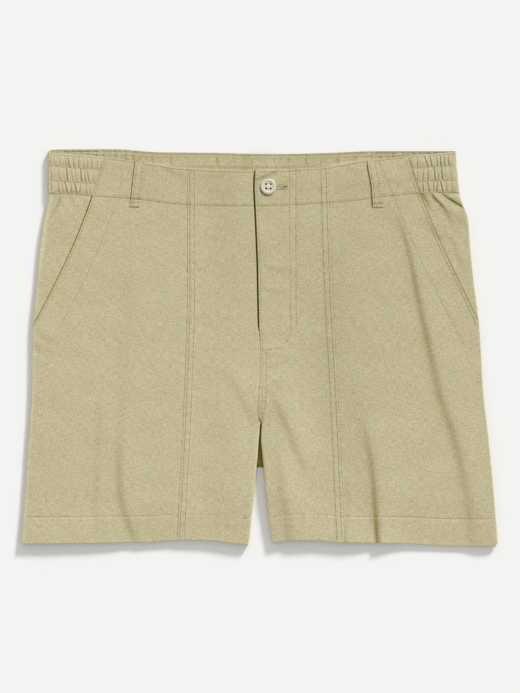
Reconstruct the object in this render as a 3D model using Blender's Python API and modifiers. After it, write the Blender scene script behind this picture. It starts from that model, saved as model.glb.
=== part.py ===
# Casual linen shorts, laid flat and face up on a level surface, built piece by piece as the garment is sewn.
# Every cut piece is a sheet of cloth with a real wall, laid over or beside its neighbours with a small gap.
# Axes: +X to the right as the shorts lie, +Y towards the waist, +Z up. The origin is the middle of the
# bounding box, on the ground. "Left" is the -X side. Sizes below are in millimetres; the mesh is in metres.

import math
from collections import namedtuple

import bmesh
import bpy

MM = 0.001

# Walls and gaps
CLOTH = 1.1  # one layer of cloth
TURNED = 2.1  # cloth turned in and stitched down: hems, waist edge, elastic casing
SEAM_GAP = 0.3  # between the edges of two pieces that meet
RIM_GAP = 0.8  # between two edges that face each other inside a fold
LAYER_GAP = 0.45  # between the faces of two pieces that lie on each other

# How the shorts lie
FOLD_WIDTH = 3.0  # how far a side fold takes to round over, measured level
FOLD_ARC = 4.4  # the length of cloth in that quarter round
FOLD_MIDDLE = 2.7  # height of a side fold's outermost line
REST = 5.5  # height of the front's outer face where nothing lifts it
HEM_LIFT = 0.9  # how much the open hem gapes
HEM_REACH = 34.0  # how far up the legs that gape can be felt
FLY_LIFT = 3.5  # extra height over the stack of layers at the waist's middle

# Seams
FELL_WIDTH = 8.6  # width of the raised allowance beside each long front seam
FELL_RISE = 0.4
HEM_DEPTH = 0.078  # share of a leg's row height that the hem turn-up takes
UNDERLAP = 5.0  # how far the left front runs under the right one below the waistband
BAND_UNDERLAP = 33.0  # the same inside the waistband, where it carries the button
FACING_WIDTH = 43.0
FACING_END = -4.0
FACING_WALL = 0.9
FACING_ROWS = (0.539, 0.571)  # rows of the left front just below and above the facing's end
POCKET_END = 1.3  # how far in from the side fold a pocket opening ends, along the cloth
FORK_BLEND = 14.0  # the length of leg below a fork over which its inner edge takes its rolled shape
CENTRE_BACK = 1.5

# Trim
LOOP_WIDTH = 11.4
LOOP_WALL = 1.2
LOOP_LIFT = LOOP_WALL + LAYER_GAP  # how far the hidden centre-back loop lifts the waistband above it
BUTTON_RADIUS = 8.9
BUTTON_THICK = 2.8
BUTTON_AT = (9.9, 177.1)
BUTTON_HOLE = 0.9
BUTTON_HOLE_SPACING = 2.0
ZIP_WIDTH = 24.0
ZIP_WALL = 0.8
SLIDER_SIZE = (7.0, 9.0, 1.9)

# Both side folds from waist to hem
Outline = namedtuple("Outline", "y left right")
OUTLINE = [
    Outline(y=206, left=-232.5, right=216.0),
    Outline(y=167, left=-232.5, right=220.5),
    Outline(y=140, left=-237.0, right=229.5),
    Outline(y=114, left=-241.0, right=231.5),
    Outline(y=74, left=-244.5, right=235.5),
    Outline(y=21, left=-249.5, right=242.0),
    Outline(y=-45, left=-250.5, right=246.0),
    Outline(y=-110, left=-254.5, right=253.0),
    Outline(y=-163, left=-258.0, right=258.0),
    Outline(y=-216, left=-262.3, right=262.3),
]

# The facing edges of the two legs below the crotch
Crotch = namedtuple("Crotch", "y left right")
INNER_LEGS = [
    Crotch(y=-81, left=1.3, right=1.7),
    Crotch(y=-130, left=-2.0, right=4.0),
    Crotch(y=-164, left=-6.0, right=7.2),
    Crotch(y=-217, left=-12.0, right=14.2),
]
FRONT_FORK = -81.0  # where the front crotch seam ends
BACK_FORK = -130.0  # where the back crotch seam ends

# The edge of the right front, which laps over the left one
Fly = namedtuple("Fly", "y x")
FLY_EDGE = [
    Fly(y=195, x=-5.0),
    Fly(y=165, x=-6.4),
    Fly(y=130, x=-3.4),
    Fly(y=20, x=-0.6),
    Fly(y=-81, x=1.5),
]

# The long seam down each front
Seam = namedtuple("Seam", "y left right")
LONG_SEAM = [
    Seam(y=198, left=-79.8, right=75.5),
    Seam(y=64, left=-79.4, right=80.0),
    Seam(y=-46, left=-82.6, right=86.0),
    Seam(y=-212, left=-91.0, right=93.5),
]

# The slant pocket openings, which carry on up into the waistband
Slant = namedtuple("Slant", "y left right")
OPENING = [
    Slant(y=210, left=-170.0, right=162.5),
    Slant(y=165, left=-184.0, right=177.0),
    Slant(y=118, left=-202.0, right=196.5),
    Slant(y=58, left=-230.5, right=225.0),
    Slant(y=22, left=-249.5, right=242.0),
]

# Where the hip piece is stitched to the front side panel from behind
BAG_LINE = [
    Slant(y=170, left=-154.0, right=146.0),
    Slant(y=141, left=-164.5, right=157.5),
    Slant(y=78, left=-191.0, right=186.5),
    Slant(y=0, left=-233.0, right=227.0),
]

# How far the back turns over onto the front before it meets the hip piece, along the cloth from the fold
TURN_OVER = [
    Slant(y=170, left=15.5, right=17.5),
    Slant(y=155, left=12.5, right=4.5),
    Slant(y=140, left=7.8, right=0.0),
    Slant(y=118, left=3.6, right=0.0),
    Slant(y=100, left=0.0, right=0.0),
]

# Curves that run from side to side
Across = namedtuple("Across", "x y")
FRONT_TOP = [
    Across(x=-232, y=214.5),
    Across(x=-168, y=209.5),
    Across(x=-120, y=202.0),
    Across(x=-80, y=197.0),
    Across(x=-10, y=194.3),
    Across(x=66, y=197.5),
    Across(x=110, y=205.0),
    Across(x=162, y=210.5),
    Across(x=216, y=215.0),
]
BACK_TOP = [
    Across(x=-232, y=215.5),
    Across(x=-222, y=218.3),
    Across(x=-160, y=218.3),
    Across(x=-110, y=215.0),
    Across(x=5, y=213.0),
    Across(x=130, y=216.3),
    Across(x=216, y=216.3),
]
BAND_LINE = [
    Across(x=-232, y=170.0),
    Across(x=-183, y=166.7),
    Across(x=-140, y=164.0),
    Across(x=-80, y=157.3),
    Across(x=0, y=155.7),
    Across(x=90, y=160.6),
    Across(x=170, y=169.2),
    Across(x=220, y=170.5),
]
BACK_LINE = [
    Across(x=-232, y=170.0),
    Across(x=0, y=174.0),
    Across(x=220, y=170.5),
]
HEM = [
    Across(x=-262, y=-216.0),
    Across(x=-180, y=-215.0),
    Across(x=-120, y=-214.0),
    Across(x=-90, y=-211.8),
    Across(x=-60, y=-211.8),
    Across(x=-12, y=-216.7),
    Across(x=14, y=-214.6),
    Across(x=34, y=-211.8),
    Across(x=61, y=-211.8),
    Across(x=90, y=-214.4),
    Across(x=150, y=-215.2),
    Across(x=216, y=-218.3),
    Across(x=250, y=-218.3),
    Across(x=262, y=-215.8),
]

# The creases that the elastic draws into each side of the waistband, as shares of the way from the pocket
# opening to the side fold
GATHERS = {"left": (0.13, 0.29, 0.45, 0.61, 0.75, 0.91), "right": (0.11, 0.26, 0.43, 0.57, 0.74, 0.90)}
CREASE_HEIGHT = 5.4
CREST_HEIGHT = 6.7
ELASTIC_TOP = 6.1  # height to which the waistband's side folds round over
ELASTIC_FOLD = 2.9  # height of the waistband's side folds' outermost line

# The largest folds of the front: each runs from a start to an end, sinks, and pushes up a lip on its left
Trough = namedtuple("Trough", "start_x start_y end_x end_y half_width depth")
TROUGHS = [
    Trough(start_x=146, start_y=146, end_x=236, end_y=-182, half_width=10, depth=1.1),
    Trough(start_x=113, start_y=-85, end_x=129, end_y=-222, half_width=9, depth=1.0),
    Trough(start_x=17, start_y=-62, end_x=55, end_y=-150, half_width=9, depth=0.9),
    Trough(start_x=-152, start_y=-65, end_x=-139, end_y=-222, half_width=10, depth=0.9),
]
LIP = 0.55  # the lip's height as a share of the trough's depth

# Rows of a leg, as shares of the way from the hem to the waistband's stitch line
LEG_ROWS = (0, 0.04, HEM_DEPTH, 0.083, 0.13, 0.18, 0.232, 0.28, 0.325, 0.364, 0.41, 0.47, 0.53, 0.59)
HIP_ROWS = (0.64, 0.695, 0.75, 0.80, 0.85, 0.90, 0.95, 0.985, 1.0)
BAND_ROWS = (1.35, 1.7, 2.0)

LINEN = (0.552, 0.491, 0.305)
Side = namedtuple("Side", "name inward")
LEFT = Side(name="left", inward=1)
RIGHT = Side(name="right", inward=-1)


def mix(a, b, share):
    """The value a share of the way from a to b."""
    return a + (b - a) * share


def ease(low, high, value):
    """A smooth step from 0 at low to 1 at high."""
    share = min(max((value - low) / (high - low), 0.0), 1.0)
    return share * share * (3 - 2 * share)


def read(table, column, at):
    """A table's column where its first column is at: smooth, with no overshoot, and level past both ends."""
    rows = sorted(table)
    keys = [row[0] for row in rows]
    values = [getattr(row, column) for row in rows]
    if at <= keys[0]:
        return values[0]
    if at >= keys[-1]:
        return values[-1]
    spans = [b - a for a, b in zip(keys, keys[1:])]
    grades = [(b - a) / span for a, b, span in zip(values, values[1:], spans)]
    slopes = [grades[0]] + [0.0] * (len(rows) - 2) + [grades[-1]]
    for i in range(1, len(rows) - 1):
        if grades[i - 1] * grades[i] > 0:
            slopes[i] = 2 * grades[i - 1] * grades[i] / (grades[i - 1] + grades[i])
    i = max(k for k in range(len(spans)) if keys[k] <= at)
    t = (at - keys[i]) / spans[i]
    rise = spans[i] * ((t**3 - 2 * t**2 + t) * slopes[i] + (t**3 - t**2) * slopes[i + 1])
    return mix(values[i], values[i + 1], t * t * (3 - 2 * t)) + rise


def front_row(row, x):
    """How far up the front a row lies at x: 0 is the hem, 1 the waistband's stitch line, 2 the top edge."""
    if row <= 1:
        return mix(read(HEM, "y", x), read(BAND_LINE, "y", x), row)
    return mix(read(BAND_LINE, "y", x), read(FRONT_TOP, "y", x), row - 1)


def back_row(row, x):
    """The same for the back: 0 is the hem, 1 the elastic waistband's lower edge, 2 its top edge."""
    if row <= 1:
        return mix(read(HEM, "y", x), read(BACK_LINE, "y", x), row)
    return mix(read(BACK_LINE, "y", x), read(BACK_TOP, "y", x), row - 1)


def crossing(row, table, column, start, rows=front_row):
    """The point (x, y) where a row crosses a seam or an edge."""
    x = start
    for _ in range(5):
        y = rows(row, x)
        x = read(table, column, y)
    return x, y


def trough_depth(trough, x, y):
    """How far a trough changes the front's height at a point."""
    run_x = trough.end_x - trough.start_x
    run_y = trough.end_y - trough.start_y
    length = math.hypot(run_x, run_y)
    out_x = x - trough.start_x
    out_y = y - trough.start_y
    share = (out_x * run_x + out_y * run_y) / length**2
    aside = (out_x * run_y - out_y * run_x) / length / trough.half_width
    fade = ease(0.0, 0.2, share) * ease(1.0, 0.85, share)
    lip = LIP * math.exp(-((aside - 1.9) ** 2))
    return trough.depth * fade * (lip - math.exp(-(aside**2)))


def front_height(x, y):
    """Height of the front's outer face above the ground."""
    height = REST
    near_fly = ease(-62, -20, x) * ease(92, 44, x)
    height += FLY_LIFT * near_fly * (0.3 * ease(-60, 20, y) + 0.7 * ease(40, 150, y))
    height += HEM_LIFT * ease(-215 + HEM_REACH, -215, y)
    for trough in TROUGHS:
        height += trough_depth(trough, x, y)
    return height


def loop_lift(x, y):
    """How far the hidden belt loop lifts the back above the ground."""
    return LOOP_LIFT * ease(22, 7, abs(x)) * ease(152, 163, y)


def fold_x(side, edge, along):
    """Where the cloth stands when it has come a way along itself from a side fold's outermost line."""
    turn = min(abs(along) / FOLD_ARC, 1.0) * math.pi / 2
    return edge + side.inward * (FOLD_WIDTH * (1 - math.cos(turn)) + max(abs(along) - FOLD_ARC, 0.0))


def fold_height(side, edge, along, y, middle=FOLD_MIDDLE, top=None):
    """The cloth's height there: along is positive on the front, and negative on the back, which lies flat."""
    turn = min(abs(along) / FOLD_ARC, 1.0) * math.pi / 2
    if along < 0:
        return middle * (1 - math.sin(turn))
    if top is None:
        top = front_height(fold_x(side, edge, max(along, FOLD_ARC)), y)
    return middle + (top - middle) * math.sin(turn)


def along_at(side, edge, x):
    """How far along the front's cloth a point at x lies from the side fold's outermost line."""
    level = side.inward * (x - edge)
    if level >= FOLD_WIDTH:
        return level - FOLD_WIDTH + FOLD_ARC
    return FOLD_ARC * math.acos(1 - max(level, 0.0) / FOLD_WIDTH) / (math.pi / 2)


def fork_floor(y):
    """Height of the line where a leg's front meets its back along the inner edge."""
    return mix(CLOTH + 0.75, FOLD_MIDDLE, ease(BACK_FORK, BACK_FORK - 14, y))


def material(name, colour, roughness, metallic=0.0):
    """A plain Principled material."""
    made = bpy.data.materials.new(name)
    made.use_nodes = True
    shader = made.node_tree.nodes["Principled BSDF"]
    shader.inputs["Base Color"].default_value = (*colour, 1.0)
    shader.inputs["Roughness"].default_value = roughness
    shader.inputs["Metallic"].default_value = metallic
    return made


def add_object(name, bm, colour, roughness, metallic=0.0, group="shorts"):
    """Makes the mesh an object of its own in one of the two collections."""
    mesh = bpy.data.meshes.new(name)
    bm.to_mesh(mesh)
    bm.free()
    made = bpy.data.objects.new(name, mesh)
    mesh.materials.append(material(name, colour, roughness, metallic))
    bpy.data.collections[group].objects.link(made)
    return made


def cloth(name, columns, rows, place, colour=LINEN):
    """One piece of cloth. place(column, row) gives the outer face's point and the wall there, in millimetres,
    and the wall goes inwards from it. Columns run to the right wherever the cloth faces up."""
    bm = bmesh.new()
    wall = bm.verts.layers.deform.verify()
    bmesh.ops.create_grid(bm, x_segments=len(columns) - 1, y_segments=len(rows) - 1, size=0.5)
    for vert in bm.verts:
        column = columns[round((vert.co.x + 0.5) * (len(columns) - 1))]
        row = rows[round((vert.co.y + 0.5) * (len(rows) - 1))]
        x, y, z, thickness = place(column, row)
        vert.co = (x * MM, y * MM, z * MM)
        vert[wall][0] = thickness / TURNED
    made = add_object(name, bm, colour, roughness=0.9)
    made.vertex_groups.new(name="wall")
    made.data.shade_smooth()
    solid = made.modifiers.new("wall", "SOLIDIFY")
    solid.thickness = TURNED * MM
    solid.offset = -1
    solid.use_even_offset = False
    solid.use_quality_normals = True
    solid.vertex_group = "wall"
    solid.thickness_vertex_group = 0.0
    return made


def wall_at(row):
    """The wall of a leg panel in a row: thicker in the hem and above the waistband's stitch line."""
    return TURNED if row <= HEM_DEPTH or row >= 1 else CLOTH


def across_columns(side, count):
    """Column numbers from the outer side inwards, in the order that keeps the cloth facing out."""
    columns = list(range(count))
    return columns if side is LEFT else columns[::-1]


def front_side(side):
    """From the pocket opening, and below it from the side fold, to the long seam."""
    near = (0.0, 0.5, 1.7, 3.0, 4.4)  # columns that round the fold
    far = 7  # even columns from there to the seam

    def place(column, row):
        edge, y = crossing(row, OUTLINE, side.name, side.inward * -240)
        opening, _ = crossing(row, OPENING, side.name, side.inward * -200)
        seam, _ = crossing(row, LONG_SEAM, side.name, side.inward * -80)
        first = RIM_GAP / 2
        if y > 0:
            first = max(along_at(side, edge, opening), POCKET_END)
        if column < len(near):
            along = first + near[column]
        else:
            last = along_at(side, edge, seam) - SEAM_GAP / 2
            along = mix(first + near[-1], last, (column - len(near) + 1) / far)
        x = fold_x(side, edge, along)
        y = front_row(row, x)
        wall = wall_at(row) if along > FOLD_ARC / 2 else CLOTH
        return x, y, fold_height(side, edge, along, y), wall

    columns = across_columns(side, len(near) + far)
    cloth(f"front_side_{side.name}", columns, LEG_ROWS + HIP_ROWS + BAND_ROWS, place)


def front_edge(side, row):
    """The inner edge of a front centre panel in a row: where it is, how far it dips under the other front,
    and how far it has rolled down towards the back, from 0 to 1."""
    leg, y = crossing(row, INNER_LEGS, side.name, 0.0)
    if y <= FRONT_FORK + 1:
        dip = CLOTH + LAYER_GAP if side is LEFT and y > FRONT_FORK - 4 else 0.0
        return leg, dip, ease(FRONT_FORK, FRONT_FORK - FORK_BLEND, y)
    fly, y = crossing(row, FLY_EDGE, "x", 0.0)
    if side is RIGHT:
        return fly, 0.0, 0.0
    if row >= 1:
        return fly + BAND_UNDERLAP, TURNED + LAYER_GAP, 0.0
    if y > FACING_END - 3:
        return fly + UNDERLAP, CLOTH + LAYER_GAP + FACING_WALL + LAYER_GAP, 0.0
    return fly + UNDERLAP, CLOTH + LAYER_GAP, 0.0


def front_centre(side):
    """From the long seam to the fly, the crotch seam and the inner edge of the leg."""
    fell = (0.0, FELL_WIDTH, FELL_WIDTH + 1.5)  # columns on the seam's raised allowance, and just past it
    even = 5  # columns from there to where the inner edge begins to dip or roll
    rounds = (0.45, 0.88, 1.0)  # columns that dip or roll
    dip_ahead = 5.5
    dip_done = 1.2

    def place(column, row):
        seam, _ = crossing(row, LONG_SEAM, side.name, side.inward * -80)
        seam += side.inward * SEAM_GAP / 2
        fly, _ = crossing(row, FLY_EDGE, "x", 0.0)
        edge, dip, roll = front_edge(side, row)
        begins = min(edge, fly) - dip_ahead if dip else edge - side.inward * FOLD_ARC
        past = column - len(fell) + 1
        if past <= 0:
            x = seam + side.inward * fell[column]
        elif past <= even:
            x = mix(seam + side.inward * fell[-1], begins, past / even)
        else:
            share = rounds[past - even - 1]
            turn = share * math.pi / 2
            flat = mix(begins, edge, share)
            if dip:
                flat = mix(min(edge, fly) - dip_done, edge, (share - rounds[0]) / (1 - rounds[0]))
            x = mix(flat, edge - side.inward * FOLD_WIDTH * (1 - math.sin(turn)), roll)
        y = front_row(row, x)
        z = front_height(x, y)
        if column < 2:
            z += FELL_RISE
        if past > even:
            floor = fork_floor(y) + RIM_GAP / 2
            z = mix(z - dip, mix(z, floor, 1 - math.cos(turn)), roll)
        return x, y, z, wall_at(row)

    rows = LEG_ROWS + HIP_ROWS + BAND_ROWS
    if side is LEFT:
        rows = sorted(rows + FACING_ROWS)
    columns = across_columns(side, len(fell) + even + len(rounds))
    cloth(f"front_centre_{side.name}", columns, rows, place)


def hip_pocket(side):
    """The pocket's back: it shows from the side seam to the opening and runs on under the front side panel."""
    near = (0.0, 0.5, 1.7, 3.0, 4.4)
    hidden_from = len(near) + 1
    count = hidden_from + 4
    under = CLOTH + LAYER_GAP
    opening_margin = 1.2

    def place(column, row):
        edge, y = crossing(row, OUTLINE, side.name, side.inward * -240)
        opening, _ = crossing(row, OPENING, side.name, side.inward * -200)
        bag, _ = crossing(row, BAG_LINE, side.name, side.inward * -200)
        covered = y < 30
        first = max(read(TURN_OVER, side.name, y), 0.0) + RIM_GAP / 2
        if covered:
            first = FOLD_ARC + 0.2
        visible = max(along_at(side, edge, opening) - opening_margin, first + 0.6)
        hidden = column >= hidden_from or covered
        if column >= hidden_from:
            share = (column - hidden_from) / (count - 1 - hidden_from)
            along = mix(visible, along_at(side, edge, bag), share)
        else:
            dips_from = max(visible - 6.0, mix(first, visible, 0.5))
            along = mix(first, dips_from, column / len(near))
            if column < len(near):
                along = min(along, first + near[column])
        x = fold_x(side, edge, along)
        y = front_row(row - 0.02 if hidden and row > 0.96 else row, x)
        if row == 1 and not hidden:
            y -= SEAM_GAP
        z = fold_height(side, edge, along, y)
        if hidden:
            z -= under
        if covered:
            z -= LAYER_GAP
        return x, y, z, CLOTH

    cloth(f"hip_pocket_{side.name}", across_columns(side, count), (0.585, 0.615) + HIP_ROWS, place)


def back(side):
    """Half of the back: flat on the ground, turned up at the inner leg and round over the side fold."""
    inner = (1.0, 0.88, 0.45, 0.0)  # columns that round the inner fold
    even = 6  # columns across the flat
    outer = (0.0, 0.25, 0.5, 0.74, 0.93, 1.0)  # columns that round the side fold

    def place(column, row):
        edge, side_y = crossing(row, OUTLINE, side.name, side.inward * -240, back_row)
        middle, y = crossing(row, INNER_LEGS, side.name, 0.0, back_row)
        if y > BACK_FORK:
            middle = CENTRE_BACK - side.inward * SEAM_GAP / 2
        roll = ease(BACK_FORK, BACK_FORK - FORK_BLEND, y)
        wall = wall_at(row) if row < 1 else CLOTH
        past = column - len(inner) + 1
        if past <= 0:
            turn = inner[column] * math.pi / 2
            plain = middle - side.inward * FOLD_ARC * (1 - inner[column])
            x = mix(plain, middle - side.inward * FOLD_WIDTH * (1 - math.sin(turn)), roll)
            y = back_row(row, x)
            rim = (fork_floor(y) - RIM_GAP / 2) * (1 - math.cos(turn))
            return x, y, max(roll * rim, loop_lift(x, y)), wall
        if past < even:
            x = mix(middle - side.inward * FOLD_ARC, edge + side.inward * FOLD_WIDTH, past / even)
            y = back_row(row, x)
            return x, y, loop_lift(x, y), wall
        end = max(read(TURN_OVER, side.name, side_y), 0.0) - RIM_GAP / 2
        along = mix(-FOLD_ARC, end, outer[past - even])
        x = fold_x(side, edge, along)
        y = front_row(row, x) if along > 0 else side_y
        z = fold_height(side, edge, along, y)
        if row == 1:
            y -= SEAM_GAP
        return x, y, z, wall if along < -FOLD_ARC / 2 else CLOTH

    count = len(inner) + even - 1 + len(outer)
    columns = across_columns(side, count)
    cloth(f"back_{side.name}", columns, LEG_ROWS + HIP_ROWS, place)


def waistband_elastic():
    """The gathered casing: from the right opening round that side, across the back and round to the left."""
    turns = (1.0, 0.67, 0.33, 0.0, -0.33, -0.67, -1.0)
    across = (190, 150, 110, 70, 24, 7, -7, -24, -70, -110, -150, -190)
    heights = {"crest": CREST_HEIGHT, "crease": CREASE_HEIGHT}

    def front_columns(side):
        """From the pocket opening to the back: the flat edge, the gathers, and the side fold."""
        found = [("edge", side, 0.0), ("edge", side, 1.5)]
        before = 0.0
        for crease in GATHERS[side.name]:
            found += [("crest", side, (before + crease) / 2), ("crease", side, crease)]
            before = crease
        return found + [("fold", side, turn) for turn in turns]

    def place(column, row):
        kind, side, value = column
        edge, side_y = crossing(row, OUTLINE, side.name, side.inward * -230, back_row)
        lifted = SEAM_GAP / 2 if row == 1 else 0.0
        if kind == "back":
            y = back_row(row, value)
            return value, y + lifted, loop_lift(value, y), TURNED
        if kind == "fold":
            x = fold_x(side, edge, value * FOLD_ARC)
            z = fold_height(side, edge, value * FOLD_ARC, side_y, ELASTIC_FOLD, ELASTIC_TOP)
            y = mix(side_y, front_row(row, x), ease(-0.4, 1.0, value))
            return x, y + lifted, z, TURNED
        opening, _ = crossing(row, OPENING, side.name, side.inward * -180)
        if kind == "edge":
            x = opening - side.inward * (SEAM_GAP + value)
        else:
            x = mix(opening, edge + side.inward * FOLD_WIDTH, value)
        y = front_row(row, x)
        return x, y + lifted, heights.get(kind, front_height(x, y)), TURNED

    columns = front_columns(RIGHT) + [("back", RIGHT, x) for x in across] + front_columns(LEFT)[::-1]
    cloth("waistband_elastic", columns, (1.0,) + BAND_ROWS, place)


def fly_facing():
    """The layer behind the curved stitching of the fly, under the right front."""
    rows = (0, 0.1, 0.25, 0.5, 0.75, 1.0)

    def place(column, row):
        top = read(BAND_LINE, "y", 20) - 8
        y = mix(FACING_END, top, row)
        left = read(FLY_EDGE, "x", y) + 0.8
        width = FACING_WIDTH * math.sqrt(1 - (1 - min(row / 0.25, 1.0)) ** 2 * 0.8)
        x = left + width * column
        return x, y, front_height(x, y) - CLOTH - LAYER_GAP, FACING_WALL

    cloth("fly_facing", (0, 0.2, 0.4, 0.6, 0.8, 1.0), rows, place)


def belt_loop(name, top_x, top_y, foot_x, foot_y, surface, facing=1):
    """A strap from the waist edge to its folded foot, made from the waistband's points and moved out."""
    rows = (0, 0.1, 0.19, 0.22, 0.45, 0.7, 0.9, 1.0)

    def place(column, row):
        x = mix(foot_x, top_x, row) + LOOP_WIDTH * (column - 0.5)
        y = mix(foot_y, top_y, row)
        slack = 1.2 * math.sin(math.pi * ease(0.15, 1.0, row)) if facing > 0 else 0.0
        wall = LOOP_WALL + (0.7 if row <= 0.19 and facing > 0 else 0.0)
        return x, y, surface(x, y) + facing * (LAYER_GAP + wall + slack), wall

    columns = (0, 0.33, 0.67, 1.0)
    cloth(name, columns if facing > 0 else columns[::-1], rows, place)


def button():
    """A turned button with a raised rim and four holes."""
    lies_at = front_height(*BUTTON_AT) + SEAM_GAP
    rim = BUTTON_RADIUS
    profile = [
        (0.0, 0.62),
        (0.48, 0.62),
        (0.60, 0.74),
        (0.74, 1.0),
        (0.88, 0.96),
        (1.0, 0.62),
        (0.97, 0.3),
        (0.8, 0.0),
        (0.0, 0.0),
    ]
    bm = bmesh.new()
    verts = [bm.verts.new((r * rim * MM, 0, z * BUTTON_THICK * MM)) for r, z in profile]
    for a, b in zip(verts, verts[1:]):
        bm.edges.new((a, b))
    made = add_object("button", bm, (0.716, 0.665, 0.546), roughness=0.35)
    made.location = (BUTTON_AT[0] * MM, BUTTON_AT[1] * MM, lies_at * MM)
    turned = made.modifiers.new("turned", "SCREW")
    turned.steps = 28
    turned.render_steps = 28
    turned.use_merge_vertices = True
    turned.merge_threshold = 0.00001
    cutters = bmesh.new()
    for i in range(4):
        angle = math.pi / 4 + i * math.pi / 2
        hole = bmesh.ops.create_cone(
            cutters,
            cap_ends=True,
            segments=10,
            radius1=BUTTON_HOLE * MM,
            radius2=BUTTON_HOLE * MM,
            depth=BUTTON_THICK * 3 * MM,
        )
        offset = (math.cos(angle) * BUTTON_HOLE_SPACING * MM, math.sin(angle) * BUTTON_HOLE_SPACING * MM, 0)
        bmesh.ops.translate(cutters, verts=hole["verts"], vec=offset)
    cutter = add_object("button_holes", cutters, (0.5, 0.5, 0.5), roughness=0.5, group="cutters")
    cutter.location = made.location
    cutter.hide_render = True
    cutter.display_type = "WIRE"
    cut = made.modifiers.new("holes", "BOOLEAN")
    cut.operation = "DIFFERENCE"
    cut.object = cutter


def zip_fastener():
    """A closed zip, flat on the back inside the fly: its woven tape, and the slider at the top of it."""
    tape_top = CLOTH + LAYER_GAP + ZIP_WALL
    rows = (0, 0.25, 0.5, 0.75, 1.0)

    def place(column, row):
        y = mix(2, 150, row)
        left = read(FLY_EDGE, "x", y) + UNDERLAP + 0.8
        return left + ZIP_WIDTH * column, y, tape_top, ZIP_WALL

    cloth("zip_tape", (0, 1.0), rows, place, colour=(0.62, 0.56, 0.38))
    width, length, thick = SLIDER_SIZE
    bm = bmesh.new()
    bmesh.ops.create_cube(bm, size=1.0)
    for vert in bm.verts:
        taper = 0.72 if vert.co.y < 0 else 1.0
        vert.co = (vert.co.x * width * taper * MM, vert.co.y * length * MM, vert.co.z * thick * MM)
    slider = add_object("zip_slider", bm, (0.42, 0.38, 0.28), roughness=0.4, metallic=1.0)
    slider.location = (14 * MM, 144 * MM, (tape_top + SEAM_GAP + thick / 2) * MM)
    softened = slider.modifiers.new("softened", "BEVEL")
    softened.width = 0.4 * MM
    softened.segments = 1


def build():
    """Clears the scene and makes every piece."""
    for old in list(bpy.data.objects):
        bpy.data.objects.remove(old)
    for name in ("shorts", "cutters"):
        bpy.context.scene.collection.children.link(bpy.data.collections.new(name))
    for side in (LEFT, RIGHT):
        front_side(side)
        front_centre(side)
        hip_pocket(side)
        back(side)
    waistband_elastic()
    fly_facing()
    zip_fastener()
    button()
    belt_loop("belt_loop_left", -133.0, 206.5, -137.5, 152.0, front_height)
    belt_loop("belt_loop_right", 122.0, 206.0, 131.0, 152.5, front_height)
    belt_loop("belt_loop_back", 0.0, 212.0, 0.0, 169.5, loop_lift, facing=-1)


build()
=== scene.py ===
import math

import bpy
import numpy as np
from mathutils import Matrix, Vector
from mathutils.bvhtree import BVHTree


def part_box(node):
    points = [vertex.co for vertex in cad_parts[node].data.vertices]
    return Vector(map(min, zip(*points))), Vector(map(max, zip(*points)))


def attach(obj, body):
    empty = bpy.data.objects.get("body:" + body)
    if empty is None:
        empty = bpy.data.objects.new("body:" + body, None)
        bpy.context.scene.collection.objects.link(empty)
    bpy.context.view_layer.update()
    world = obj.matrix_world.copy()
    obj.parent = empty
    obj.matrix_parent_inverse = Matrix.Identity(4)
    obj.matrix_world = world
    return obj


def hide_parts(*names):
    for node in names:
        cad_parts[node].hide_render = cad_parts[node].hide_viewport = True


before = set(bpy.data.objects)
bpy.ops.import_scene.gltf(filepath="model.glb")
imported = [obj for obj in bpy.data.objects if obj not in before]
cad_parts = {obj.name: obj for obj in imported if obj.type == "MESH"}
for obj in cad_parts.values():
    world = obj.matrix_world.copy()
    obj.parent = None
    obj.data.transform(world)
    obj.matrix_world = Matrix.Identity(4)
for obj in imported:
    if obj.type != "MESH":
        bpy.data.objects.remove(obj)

# Linen shorts laid flat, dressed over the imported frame. Lengths are in mm until a mesh is made.
# x runs to the right, y up to the waist, z up from the ground; "left" is the -x side.
mm = 0.001
quarterTurn = math.pi / 2
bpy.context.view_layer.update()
inwards = {"left": 1, "right": -1}  # the way to the middle from each side
print("frame loaded with", len(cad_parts), "nodes")

lie = {
    "rest": 5.5,  # height of the front where nothing lifts it
    "foldWidth": 3.0,  # a side fold, measured level
    "foldArc": 4.4,  # cloth in a quarter of it
    "foldMiddle": 2.7,
    "squareness": 0.38,  # 1 is round, less is a squarer fold
    "flyLift": 2.7,
    "forkLift": 3.8,
    "bandLift": 1.3,
    "casingTop": 6.1,
    "casingMiddle": 2.9,
    "loopLift": 1.65,  # what the hidden back loop lifts the waist by
}
gaps = {"seam": 0.06, "fold": 0.1, "turned": 0.02, "fork": 0.3, "under": 1.55, "bandUnder": 3.0}
walls = {"single": 0.7, "turned": 1.5, "facing": 0.7, "loop": 0.75}
forks = {"front": -81.0, "back": -132.2, "blend": 14.0, "frontBlend": 6.0}

# the main lines of the cut, as they lie
sideFolds = {
    "y": [206, 167, 140, 114, 74, 21, -45, -110, -163, -216],
    "left": [-232.5, -232.5, -237, -241, -244.5, -249.5, -250.5, -254.5, -258, -262.3],
    "right": [216, 220.5, 229.5, 231.5, 235.5, 242, 246, 253, 258, 262.3],
}
innerLegs = {
    "y": [-81, -86, -94, -103, -112, -121, -130, -164, -217],
    "left": [1.3, 0.5, -0.1, -0.8, -1.5, -2.1, -3.1, -6.3, -12],
    "right": [2.0, 2.2, 1.7, 1.6, 2.5, 3.5, 4.4, 7.4, 14.2],
}
flyEdge = {
    "y": [196, 190, 177, 165, 150, 128, 96, 52, 20, -3, -36, -47, -58, -66, -73, -78, -81],
    "x": [-4.4, -4.8, -5.4, -5.0, -4.1, -3.1, -1.8, -0.9, -0.2, 0.7, 0.4, -0.5, -1.3, -1.8, -1.9, -0.4,
          1.4],
}
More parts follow.
